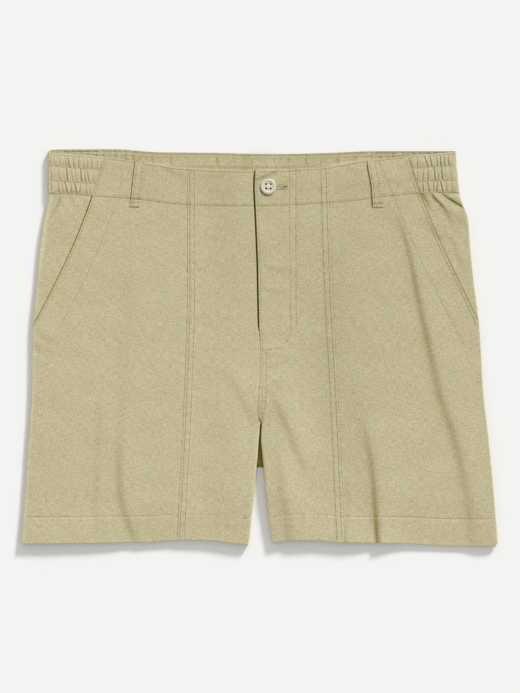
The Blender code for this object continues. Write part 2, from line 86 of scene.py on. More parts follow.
longSeams = {"y": [198, 64, -46, -212], "left": [-79.8, -79.4, -82.6, -91], "right": [75.5, 80, 86, 93.5]}
openings = {
    "y": [210, 165, 118, 58, 22],
    "left": [-170, -184, -202, -230.5, -249.5],
    "right": [162.5, 177, 196.5, 225, 242],
}
bagLines = {
    "y": [208, 170, 141, 78, 0],
    "left": [-150, -154, -164.5, -191, -233],
    "right": [130, 146, 157.5, 186.5, 227],
}
turnOvers = {
    "y": [170, 165, 160, 155, 148, 140, 118, 100],
    "left": [15.5, 14.6, 13.6, 12.5, 10.3, 7.8, 3.6, 0],
    "right": [20.5, 16, 10, 4, 0, 0, 0, 0],
}
frontTop = {
    "x": [-232, -168, -120, -80, -10, 66, 110, 162, 216],
    "y": [214.5, 209.5, 202, 197, 194.3, 197.5, 205, 210.5, 215],
}
backTop = {
    "x": [-232, -226, -160, -110, -49, 5, 66, 130, 216],
    "y": [216.8, 218.0, 218.3, 215, 214.3, 213, 213.9, 216.3, 216.3],
}
bandLine = {
    "x": [-232, -183, -140, -80, 0, 90, 170, 220],
    "y": [170, 166.7, 164, 157.3, 155.7, 160.6, 169.2, 170.5],
}
backLine = {"x": [-232, 0, 220], "y": [170, 174, 170.5]}
hemEdge = {
    "x": [-262, -180, -120, -90, -60, -12, 14, 34, 61, 90, 150, 216, 250, 262],
    "y": [-216, -215, -214, -211.8, -211.8, -216.7, -214.6, -211.8, -211.8, -214.4, -215.2, -218.3, -218.3,
          -215.8],
}


def mix(a, b, share):
    return a + (b - a) * share


def ease(low, high, value):
    # a smooth step from 0 at low to 1 at high
    share = np.clip((value - low) / (high - low), 0.0, 1.0)
    return share * share * (3 - 2 * share)


def dent(distance, width):
    return np.exp(-((distance / width) ** 2))


def follow(table, column, at):
    # a smooth curve through the table's points, level past its ends
    key = next(iter(table))
    order = np.argsort(table[key])
    keys = np.array(table[key], float)[order]
    values = np.array(table[column], float)[order]
    spans = np.diff(keys)
    grades = np.diff(values) / spans
    inner = np.zeros(len(keys) - 2)
    same = grades[:-1] * grades[1:] > 0
    both = np.where(same, grades[:-1] + grades[1:], 1.0)
    inner[same] = (2 * grades[:-1] * grades[1:] / both)[same]
    slopes = np.concatenate([grades[:1], inner, grades[-1:]])
    at = np.clip(at, keys[0], keys[-1])
    i = np.clip(np.searchsorted(keys, at, side="right") - 1, 0, len(spans) - 1)
    t = (at - keys[i]) / spans[i]
    rise = spans[i] * ((t**3 - 2 * t**2 + t) * slopes[i] + (t**3 - t**2) * slopes[i + 1])
    return mix(values[i], values[i + 1], t * t * (3 - 2 * t)) + rise


def ripple(x, y, size, seed, waves=9):
    # gentle unevenness about size mm across, mostly between -1 and 1
    rng = np.random.RandomState(seed)
    total = 0.0
    for _ in range(waves):
        turn = rng.uniform(0, math.pi)
        length = size * rng.uniform(0.7, 1.6)
        start = rng.uniform(0, 2 * math.pi)
        total = total + np.sin((x * math.cos(turn) + y * math.sin(turn)) * 2 * math.pi / length + start)
    return total / math.sqrt(waves)


def rowHeight(row, x, line, top):
    # 0 is the hem, 1 the waistband's stitch line, 2 the top edge
    band = follow(line, "y", x)
    leg = mix(follow(hemEdge, "y", x), band, row)
    return np.where(row <= 1, leg, mix(band, follow(top, "y", x), row - 1))


def frontRow(row, x):
    return rowHeight(row, x, bandLine, frontTop)


def backRow(row, x):
    return rowHeight(row, x, backLine, backTop)


def crossing(rows, table, column, start, heights=frontRow):
    # where each row meets a seam or an edge
    x = np.full(rows.shape, float(start))
    for _ in range(5):
        y = heights(rows, x)
        x = follow(table, column, y)
    return x, y


def fold(**columns):
    # one crease as a table: where it runs, how far the cloth steps up over about twice its width, and the
    # painted shade along its foot. Steep ones are followed down the cloth by y and level ones across it by
    # x
    if not isinstance(columns["width"], list):
        columns["width"] = [columns["width"]] * len(columns["rise"])
    return columns


# folds pressed into the front
frontFolds = [
    fold(y=[150, 135, 114, 58, 4, -50, -104, -159, -195, -222],
         x=[150, 155, 162, 173.7, 185.3, 197.3, 214.8, 227, 232, 235],
         rise=[0, 1.0, 1.7, 2.4, 2.9, 2.7, 2.5, 2.0, 1.5, 1.1],
         width=[3, 3, 3.2, 3.6, 4.3, 4.8, 5, 6, 5.5, 5],
         deep=[0, 0.02, 0.05, 0.07, 0.07, 0.05, 0.05, 0.03, 0.02, 0.02]),
    fold(y=[-70, -98, -133, -168, -204, -222], x=[111, 117.5, 123.5, 126.5, 129, 130.5],
         rise=[0, 1.6, 2.6, 3.4, 3.4, 2.8], width=[6, 5.5, 4.2, 4.4, 2.9, 2.6],
         deep=[0, 0.02, 0.05, 0.1, 0.29, 0.3]),
    fold(y=[-48, -70, -94, -119, -144, -168], x=[14, 22.5, 32.8, 42.5, 51.5, 59],
         rise=[0, 1.5, 1.9, 1.5, 0.8, 0], width=[4, 4, 3.9, 4.2, 5, 6]),
    fold(y=[-110, -129, -163, -197, -222], x=[18, 21.5, 25.5, 31, 35], rise=[0, 0.9, 1.7, 2.2, 1.8],
         width=[4, 4, 5, 5.5, 5]),
    fold(y=[-20, -48, -86, -124, -153, -179, -200, -222],
         x=[-150, -151, -152, -154.5, -154, -149.5, -141.5, -134],
         rise=[0, 0.8, 1.1, 2.1, 2.7, 2.4, 2.1, 1.8], width=[7, 6, 5, 3.7, 4.0, 4.8, 5, 5]),
    fold(y=[-45, -60, -100, -140, -180, -205], x=[-174, -175, -176, -179.5, -180.5, -181],
         rise=[0, 0.5, 0.9, 1.0, 0.9, 0], width=[4, 4, 4, 4, 3.6, 3.6]),
    fold(y=[120, 80, 50, 10, -30, -60], x=[-142, -143, -145, -147, -148, -149],
         rise=[0, 0.7, 0.9, 1.0, 0.8, 0], width=9),
    fold(y=[-140, -167, -200, -222], x=[97, 98, 95, 93], rise=[0, 0.5, 0.6, 0.5],
         width=[2.6, 2.6, 2.4, 2.4]),
    fold(x=[2, 12, 28, 48], y=[92, 87, 85, 89], rise=[0, 0.55, 0.45, 0], width=[2.4, 2.2, 2.2, 2.6]),
    fold(x=[0, 8, 20, 30], y=[69, 64, 61.5, 62], rise=[0, 0.5, 0.4, 0], width=[2.2, 2, 2, 2.4]),
    fold(x=[0, 10, 24, 36], y=[-3, -7, -10, -9], rise=[0, 0.5, 0.4, 0], width=[2.4, 2.2, 2.2, 2.6]),
    fold(x=[6, 16, 30, 44], y=[-24, -21, -15, -11], rise=[0, 0.55, 0.5, 0], width=[2.4, 2.2, 2.4, 2.8]),
    fold(x=[8, 18, 28], y=[-44, -38, -36], rise=[0, 0.4, 0], width=[2.6, 2.4, 2.6]),
    fold(y=[-18, -42, -62, -80, -96], x=[-42, -28, -17, -9, -4], rise=[0, 0.9, 1.0, 0.3, 0],
         width=[4.5, 4, 4, 3.5, 3]),
    fold(x=[-9, -4, 3, 9, 16, 22], y=[183, 184.5, 186.6, 189.4, 192.2, 193.5],
         rise=[0, 0.6, 1.3, 1.5, 0.9, 0], width=[1.6, 1.3, 1.3, 1.4, 1.6, 2],
         deep=[0, 0.1, 0.14, 0.12, 0.08, 0]),
    fold(x=[17, 24, 32, 42], y=[178.6, 180, 181.5, 181], rise=[0, 0.45, 0.4, 0],
         width=[1.4, 1.4, 1.5, 1.6]),
    fold(x=[-3, 3, 10], y=[149, 151, 152.5], rise=[0, 0.5, 0], width=[1.8, 1.8, 2]),
    fold(x=[-108, -98, -88, -78], y=[196, 194.5, 190, 188], rise=[0, 0.6, 0.5, 0], width=[2, 2, 2, 2.4]),
    fold(x=[-74, -60, -44, -32], y=[190, 187, 188.5, 192], rise=[0, 0.45, 0.4, 0],
         width=[2.4, 2.4, 2.4, 2.6]),
    fold(x=[-72, -55, -38, -24], y=[176, 173, 170.5, 171], rise=[0, 0.4, 0.4, 0], width=2.6),
    fold(x=[-56, -44, -34], y=[163, 165, 164], rise=[0, 0.3, 0], width=2),
    fold(x=[44, 56, 70, 80], y=[170, 174, 175, 180], rise=[0, 0.45, 0.4, 0], width=[2.6, 2.4, 2.4, 2.6]),
    fold(x=[82, 94, 108, 118], y=[168, 176, 180, 188], rise=[0, 0.5, 0.5, 0], width=[2.4, 2.2, 2.2, 2.4]),
    fold(x=[96, 106, 116], y=[196, 192, 194], rise=[0, 0.4, 0], width=2),
    fold(x=[138, 146, 156, 164], y=[178, 182, 181, 186], rise=[0, 0.45, 0.4, 0], width=2),
    fold(x=[-248, -240, -230, -222], y=[20, 14, 9, 10], rise=[0, 0.6, 0.5, 0], width=[2.4, 2.4, 2.6, 3]),
    fold(x=[-250, -242, -232, -224], y=[4, -1, -4, -3], rise=[0, 0.5, 0.4, 0], width=[2.4, 2.4, 2.6, 3]),
    fold(x=[-250, -242, -234], y=[-15, -17, -16], rise=[0, 0.4, 0], width=[2.4, 2.4, 2.8]),
    fold(y=[172, 168, 162, 155, 148], x=[177, 180, 183.5, 187, 190], rise=[0, 1.1, 1.2, 0.8, 0],
         width=[1.8, 1.8, 2, 2.2, 2.4], deep=[0, 0.16, 0.15, 0.06, 0]),
    fold(y=[170, 166, 159, 152, 145, 136], x=[189.5, 191.5, 198, 204, 208, 210],
         rise=[0, 1.2, 1.6, 1.5, 1.0, 0], width=[1.5, 1.6, 1.8, 2.2, 2.8, 3],
         deep=[0.1, 0.32, 0.26, 0.15, 0.06, 0]),
    fold(y=[169, 166, 162.5, 159, 156, 153, 149], x=[202.5, 207, 211.7, 217.5, 222, 227, 231],
         rise=[0, 1.2, 1.7, 1.7, 1.4, 0.8, 0], width=[1.6, 1.6, 1.7, 1.8, 1.8, 2, 2],
         deep=[0, 0.12, 0.15, 0.15, 0.1, 0, 0]),
    fold(y=[128, 112, 96, 84], x=[208, 214, 220, 224], rise=[0, 0.7, 0.6, 0], width=3),
    fold(y=[142, 130, 120], x=[184, 190, 196], rise=[0, 0.5, 0], width=[2.6, 2.6, 3]),
    fold(y=[168, 160, 150], x=[-206, -204, -203], rise=[0, 0.45, 0], width=[2, 2, 2.4]),
    fold(y=[168, 158, 146], x=[-196, -192, -190], rise=[0, 0.4, 0], width=[2, 2.2, 2.6]),
]
hemHeights = {
    "x": [-262, -219, -164, -122, -65, -20, 20, 44, 110, 176, 220, 262],
    "lift": [0.8, 0.9, 0.5, -1.7, 0.2, 0.4, 1.0, 0.9, 1.3, -1.9, -1.7, -0.3],
}


def asideOf(table, x, y):
    # how far a place lies from a fold's line, towards the light, in fold widths
    steep = next(iter(table)) == "y"
    at, other, column = (y, x, "x") if steep else (x, y, "y")
    line = follow(table, column, at)
    lean = follow(table, column, at + 1.0) - line
    return at, (other - line) / np.sqrt(1 + lean**2) / follow(table, "width", at)


def pressed(table, x, y):
    # up over the fold's line, and slowly down again beyond it
    at, aside = asideOf(table, x, y)
    step = np.tanh(1.2 * aside) / 2 * dent(aside, 7) + 0.12 * dent(aside, 5)
    return follow(table, "rise", at) * step


def paintedCreaseShade(x, y):
    # painted shade: a dark line along the foot of the deepest folds
    tone = np.zeros_like(x)
    for table in frontFolds:
        if "deep" in table:
            at, aside = asideOf(table, x, y)
            tone = tone - follow(table, "deep", at) * dent(aside, 0.75)
    return tone


def frontHeight(x, y):
    # the front's outer face: level, but lifted over the fly, the fork and the band, and folded
    nearFly = ease(-62, -20, x) * ease(92, 44, x)
    z = lie["rest"] + lie["flyLift"] * nearFly * (0.3 * ease(-60, 20, y) + 0.7 * ease(40, 150, y))
    z = z + follow(hemHeights, "lift", x) * ease(-165, -216, y)
    z = z + lie["forkLift"] * ease(70, 20, abs(x)) * ease(10, -70, y) * ease(-235, -150, y)
    z = z + lie["bandLift"] * ease(150, 205, y) * ease(160, 110, abs(x))
    for table in frontFolds:
        z = z + pressed(table, x, y)
    return z + 0.11 * ripple(x, y, 42, 3) + 0.03 * ripple(x, y, 14, 5)


def loopLift(x, y):
    # the waist's rise over the hidden back loop
    return lie["loopLift"] * ease(22, 7, abs(x)) * ease(152, 163, y)


def turnedUp(turn):
    # how far up a rounded edge is, from 0 at its tip to 1 where it is level again
    return np.maximum(np.sin(turn * quarterTurn), 0.0) ** lie["squareness"]


def turnedIn(turn):
    # and how far in from the tip, again from 0 to 1
    return 1 - np.maximum(np.cos(turn * quarterTurn), 0.0) ** lie["squareness"]


def foldX(inward, edge, along):
    # x at a length along the cloth from the side fold's tip: above 0 is the front, below 0 the back
    level = lie["foldWidth"] * turnedIn(np.minimum(abs(along) / lie["foldArc"], 1.0))
    return edge + inward * (level + np.maximum(abs(along) - lie["foldArc"], 0.0))


def foldHeight(inward, edge, along, y, middle=lie["foldMiddle"], top=None):
    # and the height there
    if top is None:
        top = frontHeight(foldX(inward, edge, np.maximum(along, lie["foldArc"])), y)
    turned = turnedUp(np.minimum(abs(along) / lie["foldArc"], 1.0))
    return np.where(along < 0, middle * (1 - turned), middle + (top - middle) * turned)


def alongAt(inward, edge, x):
    # the other way round: the length along the cloth at which it lies over x
    level = inward * (x - edge)
    share = np.clip(1 - level / lie["foldWidth"], 0, 1) ** (1 / lie["squareness"])
    arc = lie["foldArc"] * np.arccos(share) / quarterTurn
    return np.where(level >= lie["foldWidth"], level - lie["foldWidth"] + lie["foldArc"], arc)


def forkFloor(y):
    # the height at which the front and the back meet along the inner leg
    return mix(1.85, lie["foldMiddle"], ease(forks["back"], forks["back"] - forks["blend"], y))


def spread(first, last, near, far, count):
    # places along every row: fixed steps in from both ends, and even ones between
    start = first + np.array(near)
    finish = last - np.array(far)[::-1]
    shares = np.linspace(0, 1, count + 2)[1:-1]
    return np.hstack([start, mix(start[:, -1:], finish[:, :1], shares), finish])


def stepsBetween(low, high, count, extra=()):
    # even steps and some of their own, one above the other
    return np.array(sorted([*np.linspace(low, high, count + 1), *extra]))[:, None]


topStitched = 1.8  # how far below the waist edge its stitching runs
hem = {"row": 0.078, "stitched": 28.9, "thick": 0.28}  # the stitch line as a share of the leg, and in mm
legRows = stepsBetween(0, 1, 224, (0.001, 0.0025, 0.0765, 0.0795, 0.9985, 1.0015))
bandRows = stepsBetween(1, 2, 26, (1.955, 1.975, 1.99, 1.996))[1:]
frontRows = np.concatenate([legRows[:-1], bandRows])
frontWall = np.where((frontRows <= hem["row"]) | (frontRows >= 1), walls["turned"], walls["single"])


def hemRelief(x, y, seed):
    # the turned-up hem is a little thicker, and its stitching draws it in
    up = y - follow(hemEdge, "y", x)
    z = hem["thick"] * ease(30.4, 28.6, up) - 0.25 * dent(up - hem["stitched"], 0.7)
    z = z + 0.1 * dent(up - 1.0, 1.0)
    return z + 0.06 * ripple(x, 0.2 * y, 8, seed) * ease(36, 28, up)


def bandRelief(x, y, seed):
    # the turned-down waist edge, drawn in along its seam and its top stitching
    up = y - follow(bandLine, "y", x)
    below = follow(frontTop, "y", x) - y
    z = hem["thick"] * ease(-0.9, 0.7, up) - 0.2 * dent(up, 0.7)
    z = z - 0.1 * dent(below, 0.5) - 0.12 * dent(below - topStitched, 0.6)
    return z + 0.06 * ripple(x, 0.3 * y, 9, seed) * (dent(up, 7) + dent(below, 5))


def bagRelief(side, x, y):
    # the pocket's layers behind the cloth, out to the line that stitches them down
    past = (x - follow(bagLines, side, y)) * inwards[side]
    beyond = (x - follow(openings, side, y)) * inwards[side]
    shown = ease(-4, 6, y) * ease(212, 200, y) * ease(-1, 3, beyond)
    pucker = 0.05 * ripple(0.3 * x, y, 9, 31) * dent(past, 6)
    return shown * (0.13 * ease(1.2, -1.2, past) - 0.08 * dent(past, 0.9) + pucker)


# painted shade and painted light in soft patches; the two small ones paint shade at the fly's foot
paintedPatches = {
    "x": [79, 160, 195, 103, -42, 24, -20, 52, -185, 190, 124, 100, 0.4, 1.0],
    "y": [42, 70, 155, -110, -125, -48, -26, 135, -20, -195, -180, 178, -69, -79.8],
    "wide": [23, 120, 55, 20, 42, 34, 14, 26, 70, 34, 16, 50, 4.2, 2.4],
    "high": [95, 170, 32, 80, 95, 24, 24, 40, 60, 18, 35, 14, 13, 2.4],
    "tone": [-0.08, -0.04, -0.04, -0.05, 0.065, -0.045, -0.03, -0.025, 0.02, 0.045, -0.03, -0.015, -0.14,
             -0.4],
}


def paintedPatchTone(x, y):
    tone = np.zeros_like(x)
    for atX, atY, wide, high, depth in zip(*paintedPatches.values()):
        tone = tone + depth * dent(x - atX, wide) * dent(y - atY, high)
    return tone


def shadeTintFromLight(points, tone):
    # painted shade tint: greener where the cloth turns from the light and where its painted shade is deep
    normal = np.cross(np.gradient(points, axis=1), np.gradient(points, axis=0))
    normal = normal / np.maximum(np.linalg.norm(normal, axis=2, keepdims=True), 1e-9)
    normal = normal * np.where(normal[..., 2:] < 0, -1, 1)
    turned = -(normal[..., 0] * 0.5 + normal[..., 1] * 0.866)
    return np.clip(1.9 * turned, -0.4, 1.2) + 6.5 * np.clip(-tone - 0.1, 0, 1)


def writeTones(mesh, shade, paintedShadeTint):
    for name, values in (("tone", shade), ("paintedShadeTint", paintedShadeTint)):
        layer = mesh.attributes.get(name) or mesh.attributes.new(name, "FLOAT", "POINT")
        layer.data.foreach_set("value", values.astype(np.float32).ravel())


def linked(name, data):
    piece = bpy.data.objects.new(name, data)
    bpy.context.scene.collection.objects.link(piece)
    return piece


def applied(piece, name):
    # only that piece selected, and the modifier made part of it
    bpy.ops.object.select_all(action="DESELECT")
    bpy.context.view_layer.objects.active = piece
    piece.select_set(True)
    bpy.ops.object.modifier_apply(modifier=name)


def makeCloth(name, x, y, z, wall, faceDown=False, tone=0.0, insideTone=None):
    # one cut piece: a fine grid laid out flat, then given its wall from the outer face inwards
    rows, columns = x.shape
    points = np.stack([x, y, z], -1)
    grid = np.arange(rows * columns).reshape(rows, columns)
    quads = np.stack([grid[:-1, :-1], grid[:-1, 1:], grid[1:, 1:], grid[1:, :-1]], -1).reshape(-1, 4)
    if faceDown:
        quads = quads[:, ::-1]
    mesh = bpy.data.meshes.new(name)
    mesh.from_pydata((points.reshape(-1, 3) * mm).tolist(), [], quads.tolist())
    across = np.zeros((rows, columns))
    across[:, 1:] = np.cumsum(np.linalg.norm(np.diff(points, axis=1), axis=2), axis=1)
    middle = columns // 2
    across += x[:, middle : middle + 1] * np.sign(x[0, -1] - x[0, 0]) - across[:, middle : middle + 1]
    flat = np.stack([across, y], -1).reshape(-1, 2) * mm
    corners = np.zeros(len(mesh.loops), np.int64)
    mesh.loops.foreach_get("vertex_index", corners)
    mesh.uv_layers.new(name="grain").data.foreach_set("uv", flat[corners].astype(np.float32).ravel())
    # every piece carries the patches' painted shade and painted light, plus the tone it is given
    shade = (paintedPatchTone(x, y) + tone) * np.ones_like(x)
    paintedShadeTint = shadeTintFromLight(points, shade)
    writeTones(mesh, shade, paintedShadeTint)
    mesh.shade_smooth()
    piece = linked(name, mesh)
    thickest = float(np.max(wall))
    group = piece.vertex_groups.new(name="wall")
    weights = (np.broadcast_to(wall, x.shape) / thickest).ravel()
    for weight in np.unique(np.round(weights, 3)):
        group.add(np.flatnonzero(abs(weights - weight) < 0.001).tolist(), float(weight), "REPLACE")
    solid = piece.modifiers.new("wall", "SOLIDIFY")
    solid.thickness = thickest * mm
    solid.offset = -1
    solid.use_even_offset = False
    solid.use_quality_normals = True
    solid.vertex_group = "wall"
    solid.thickness_vertex_group = 0.0
    applied(piece, "wall")
    # the inner face gets its own tone: painted shade where one is given
    if insideTone is not None:
        inside = insideTone * np.ones_like(x)
        writeTones(piece.data, np.stack([shade, inside]), np.stack([paintedShadeTint, shadeTintFromLight(points, inside)]))
    return piece


def finishPiece(piece, material, nodes=()):
    piece.data.materials.clear()
    piece.data.materials.append(material)
    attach(piece, "root")
    if nodes:
        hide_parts(*nodes)
    return piece


def finishHalf(piece, material, side, node):
    # a left or right piece, laid flat on what is below it
    return finishPiece(piece, material, [node + side])


def newMaterial(name):
    material = bpy.data.materials.new(name)
    material.use_nodes = True
    return material, material.node_tree


def fill(tree, node, inputs):
    # each input is a plain value or the output of another node
    for socket, value in inputs.items():
        if isinstance(value, bpy.types.NodeSocket):
            tree.links.new(value, node.inputs[socket])
        else:
            node.inputs[socket].default_value = value


def addNode(tree, kind, inputs, operation=None):
    node = tree.nodes.new("ShaderNode" + kind)
    if operation:
        node.operation = operation
    fill(tree, node, inputs)
    return node.outputs[0]


def stored(tree, name):
    # a value that the cloth's mesh carries
    node = tree.nodes.new("ShaderNodeAttribute")
    node.attribute_name = name
    return node.outputs["Fac"]


def noise(tree, source, scale, stretch=(1, 1, 1), detail=2.0):
    # soft random tone, longer one way than the other
    place = addNode(tree, "Mapping", {"Scale": stretch, "Vector": source})
    return addNode(tree, "TexNoise", {"Scale": scale, "Detail": detail, "Vector": place})


def weighted(tree, parts, base):
    # base plus every part's tone about its middle, times its weight
    total = base - 0.5 * sum(weight for _, weight in parts)
    for tone, weight in parts:
        total = addNode(tree, "Math", {0: tone, 1: weight, 2: total}, "MULTIPLY_ADD")
    return total


linen = {
    "colour": (0.504, 0.449, 0.275),
    "pale": (0.640, 0.590, 0.420),
    "depth": (1.0, 1.03, 1.28),  # how strongly each channel follows the tone, so darker cloth is more olive
    "inShade": (0.0, -0.02, -0.23),  # what each channel loses where the painted shade tint is strong
    "flecks": ((0.64, 0.0), (0.78, 0.6)),  # from where they show to where they are full, and how strong
    "yarnPitch": 0.75,
    "weftSlubs": 0.57,
    "warpSlubs": 0.49,
    "specks": 0.66,
    "mottling": 0.09,
    "blotches": 0.05,
    "roughness": 0.88,
}


def linenMaterial(name, shade=1.0):
    # heathered plain weave: uneven yarns both ways, small specks, soft mottling, and the yarns' own relief
    material, tree = newMaterial(name)
    grain = tree.nodes.new("ShaderNodeUVMap")
    grain.uv_map = "grain"
    uv = grain.outputs["UV"]
    weft = noise(tree, uv, 1.0, (160, 1250, 1))
    warp = noise(tree, uv, 1.0, (1250, 170, 1))
    specks = noise(tree, uv, 620.0)
    tones = [(weft, linen["weftSlubs"]), (warp, linen["warpSlubs"]), (specks, linen["specks"])]
    tones.append((noise(tree, uv, 170.0), linen["mottling"]))
    tones.append((noise(tree, uv, 26.0, detail=3.0), linen["blotches"]))
    # the mesh's tone added in: mostly painted shade and painted light
    toneWithPaintedShade = addNode(tree, "Math", {0: weighted(tree, tones, 1.0), 1: stored(tree, "tone")}, "ADD")
    dye = [(channel * shade, depth) for channel, depth in zip(linen["colour"], linen["depth"])]
    follows = [channel * depth for channel, depth in dye]
    stays = [channel * (1 - depth) for channel, depth in dye]
    dyed = addNode(tree, "VectorMath", {0: toneWithPaintedShade, 1: follows, 2: stays}, "MULTIPLY_ADD")
    flecks = tree.nodes.new("ShaderNodeValToRGB")
    for element, (position, level) in zip(flecks.color_ramp.elements, linen["flecks"]):
        element.position = position
        element.color = (level, level, level, 1)
    fill(tree, flecks, {"Fac": noise(tree, uv, 1.0, (300, 1400, 1))})
    flecked = tree.nodes.new("ShaderNodeMix")
    flecked.data_type = "RGBA"
    pale = (*[channel * shade for channel in linen["pale"]], 1)
    fill(tree, flecked, {"Factor": flecks.outputs["Color"], "A": dyed, "B": pale})
    # painted shade: blue and a little green taken out by the mesh's painted shade tint
    inShade = {0: stored(tree, "paintedShadeTint"), 1: linen["inShade"], 2: (1, 1, 1)}
    shadeTintFactor = addNode(tree, "VectorMath", inShade, "MULTIPLY_ADD")
    shaded = addNode(tree, "VectorMath", {0: flecked.outputs["Result"], 1: shadeTintFactor}, "MULTIPLY")

    yarns = []
    for direction in "XY":
        wave = tree.nodes.new("ShaderNodeTexWave")
        wave.bands_direction = direction
        scale = 1 / (linen["yarnPitch"] * mm) * math.pi / 20
        fill(tree, wave, {"Scale": scale, "Distortion": 1.2, "Detail": 1.0, "Vector": uv})
        yarns.append((wave.outputs["Fac"], 0.5))
    relief = [(weighted(tree, yarns, 0.5), 0.5), (specks, 0.9), (weft, 0.6), (warp, 0.5)]
    height = weighted(tree, relief, 0.5)
    bump = addNode(tree, "Bump", {"Strength": 0.55, "Distance": 0.00012, "Height": height})
    surface = {"Base Color": shaded, "Normal": bump, "Roughness": linen["roughness"]}
    surface.update({"Specular IOR Level": 0.08, "Sheen Weight": 0.02, "Sheen Roughness": 0.6})
    fill(tree, tree.nodes["Principled BSDF"], surface)
    return material


def plainMaterial(name, colour, roughness, metallic=0.0, grainSize=0.6, variation=0.15, specular=0.5):
    # an even finish with slight handling variation and a fine surface
    material, tree = newMaterial(name)
    place = tree.nodes.new("ShaderNodeTexCoord").outputs["Object"]
    tone = noise(tree, place, 1000 / grainSize)
    wide = noise(tree, place, 120 / grainSize)
    level = weighted(tree, [(tone, variation), (wide, variation)], 1.0)
    dyed = addNode(tree, "VectorMath", {0: colour, "Scale": level}, "SCALE")
    bump = addNode(tree, "Bump", {"Strength": 0.2, "Distance": 0.00005, "Height": tone})
    surface = {"Base Color": dyed, "Normal": bump, "Roughness": roughness, "Metallic": metallic}
    surface["Specular IOR Level"] = specular
    fill(tree, tree.nodes["Principled BSDF"], surface)
    return material


clothFinish = linenMaterial("heatheredLinen")
insideFinish = linenMaterial("heatheredLinenInside", 0.97)
threadFinish = plainMaterial("topstitchThread", (0.50, 0.44, 0.27), 0.8, specular=0.2)
# near-black pits: painted shade
pitShadeFinish = plainMaterial("paintedPitShade", (0.12, 0.095, 0.04), 0.95, specular=0.1)
paleThreadFinish = plainMaterial("buttonThread", (0.80, 0.76, 0.66), 0.75, specular=0.2)
buttonFinish = plainMaterial(
    "polishedButton", (0.62, 0.575, 0.445), 0.4, grainSize=3, variation=0.08, specular=0.35
)
tapeFinish = plainMaterial("zipTapeWeave", (0.50, 0.45, 0.30), 0.9, specular=0.2)
brassFinish = plainMaterial("dullBrass", (0.42, 0.35, 0.20), 0.42, metallic=1.0, variation=0.2)
print("materials made")

loops = {
    "width": 11.2,
    "columns": 16,
    "rows": 60,
    "backRows": 44,
    "backEnds": (169.5, 212.0),
    "slack": 0.3,
    "left": {
        "y": [154, 160, 180, 206.5],
        "x": [-137.8, -136.1, -133.8, -130.6],
        "foot": 9.0,
        "bars": (1.6, 6.4),
        # shade, shadeFrom and shadeWidth: the painted shadow beside the loop, how dark, from how far up,
        # how wide
        "shade": -0.85,
        "shadeFrom": 8.0,
        "shadeWidth": 0.72,
    },
    "right": {
        "y": [153.8, 172, 186, 195, 206],
        "x": [130.4, 129.2, 127.4, 125.3, 124.2],
        "foot": 4.6,
        "bars": (1.0, 4.0),
        "shade": -0.88,
        "shadeFrom": 0.5,
        "shadeWidth": 0.85,
    },
    "flat": (0.030, 0.066),  # in metres
    "area": {"left": 0.0007, "right": 0.0007, "back": 0.0006},  # in square metres
}


def loopEdge(side, y):
    return follow(loops[side], "x", y) - loops["width"] / 2


def besideLoop(side, x, y):
    # painted shadow on the cloth beside a loop's left edge
    loop = loops[side]
    foot, top = loop["y"][0] + loop["shadeFrom"], loop["y"][-1]
    along = ease(foot - 1, foot + 2, y) * ease(top + 1, top - 7, y)
    width = loop["shadeWidth"] * mix(1.4, 1.0, ease(165, 182, y))  # wider where the loop lies flatter
    uneven = 0.88 + 0.12 * ripple(0, y, 16, 77)
    return loop["shade"] * dent(x - loopEdge(side, y) + 0.15, width) * along * uneven


pocketFoot = (14, 20)  # between these heights the pocket's opening ends and the side fold takes over
paintedRim = {"left": 0.34, "right": -0.03}  # rolled side folds: painted light left, slight painted shade right


def paintedRimTone(side, along, y):
    # painted tone along a rolled edge, reaching further in higher up
    reach = mix(1.2, 4.5, ease(70, 120, y))
    return paintedRim[side] * ease(lie["foldArc"] + reach, lie["foldArc"] * 0.5, along)


frontSides = {
    "outerColumns": 47,
    "loopColumns": 15,
    "innerColumns": 30,
    "besideLoop": 4.0,
    "nearEdge": (0, 0.35, 0.8, 1.3, 1.7, 2.0, 2.3, 2.7, 3.3, 4.0, 4.8, 5.8, 7.0),
    "nearSeam": (0, 0.4, 0.9, 1.5, 2.3, 3.4),
    "pocketEnd": 1.3,
    "groove": {"left": 0.18, "right": 0.1},
    # painted shade on the inner faces
    "inside": -0.35,
    "left": {"flat": (0.185, 0.43), "area": 0.064},
    "right": {"flat": (0.180, 0.43), "area": 0.062},
}


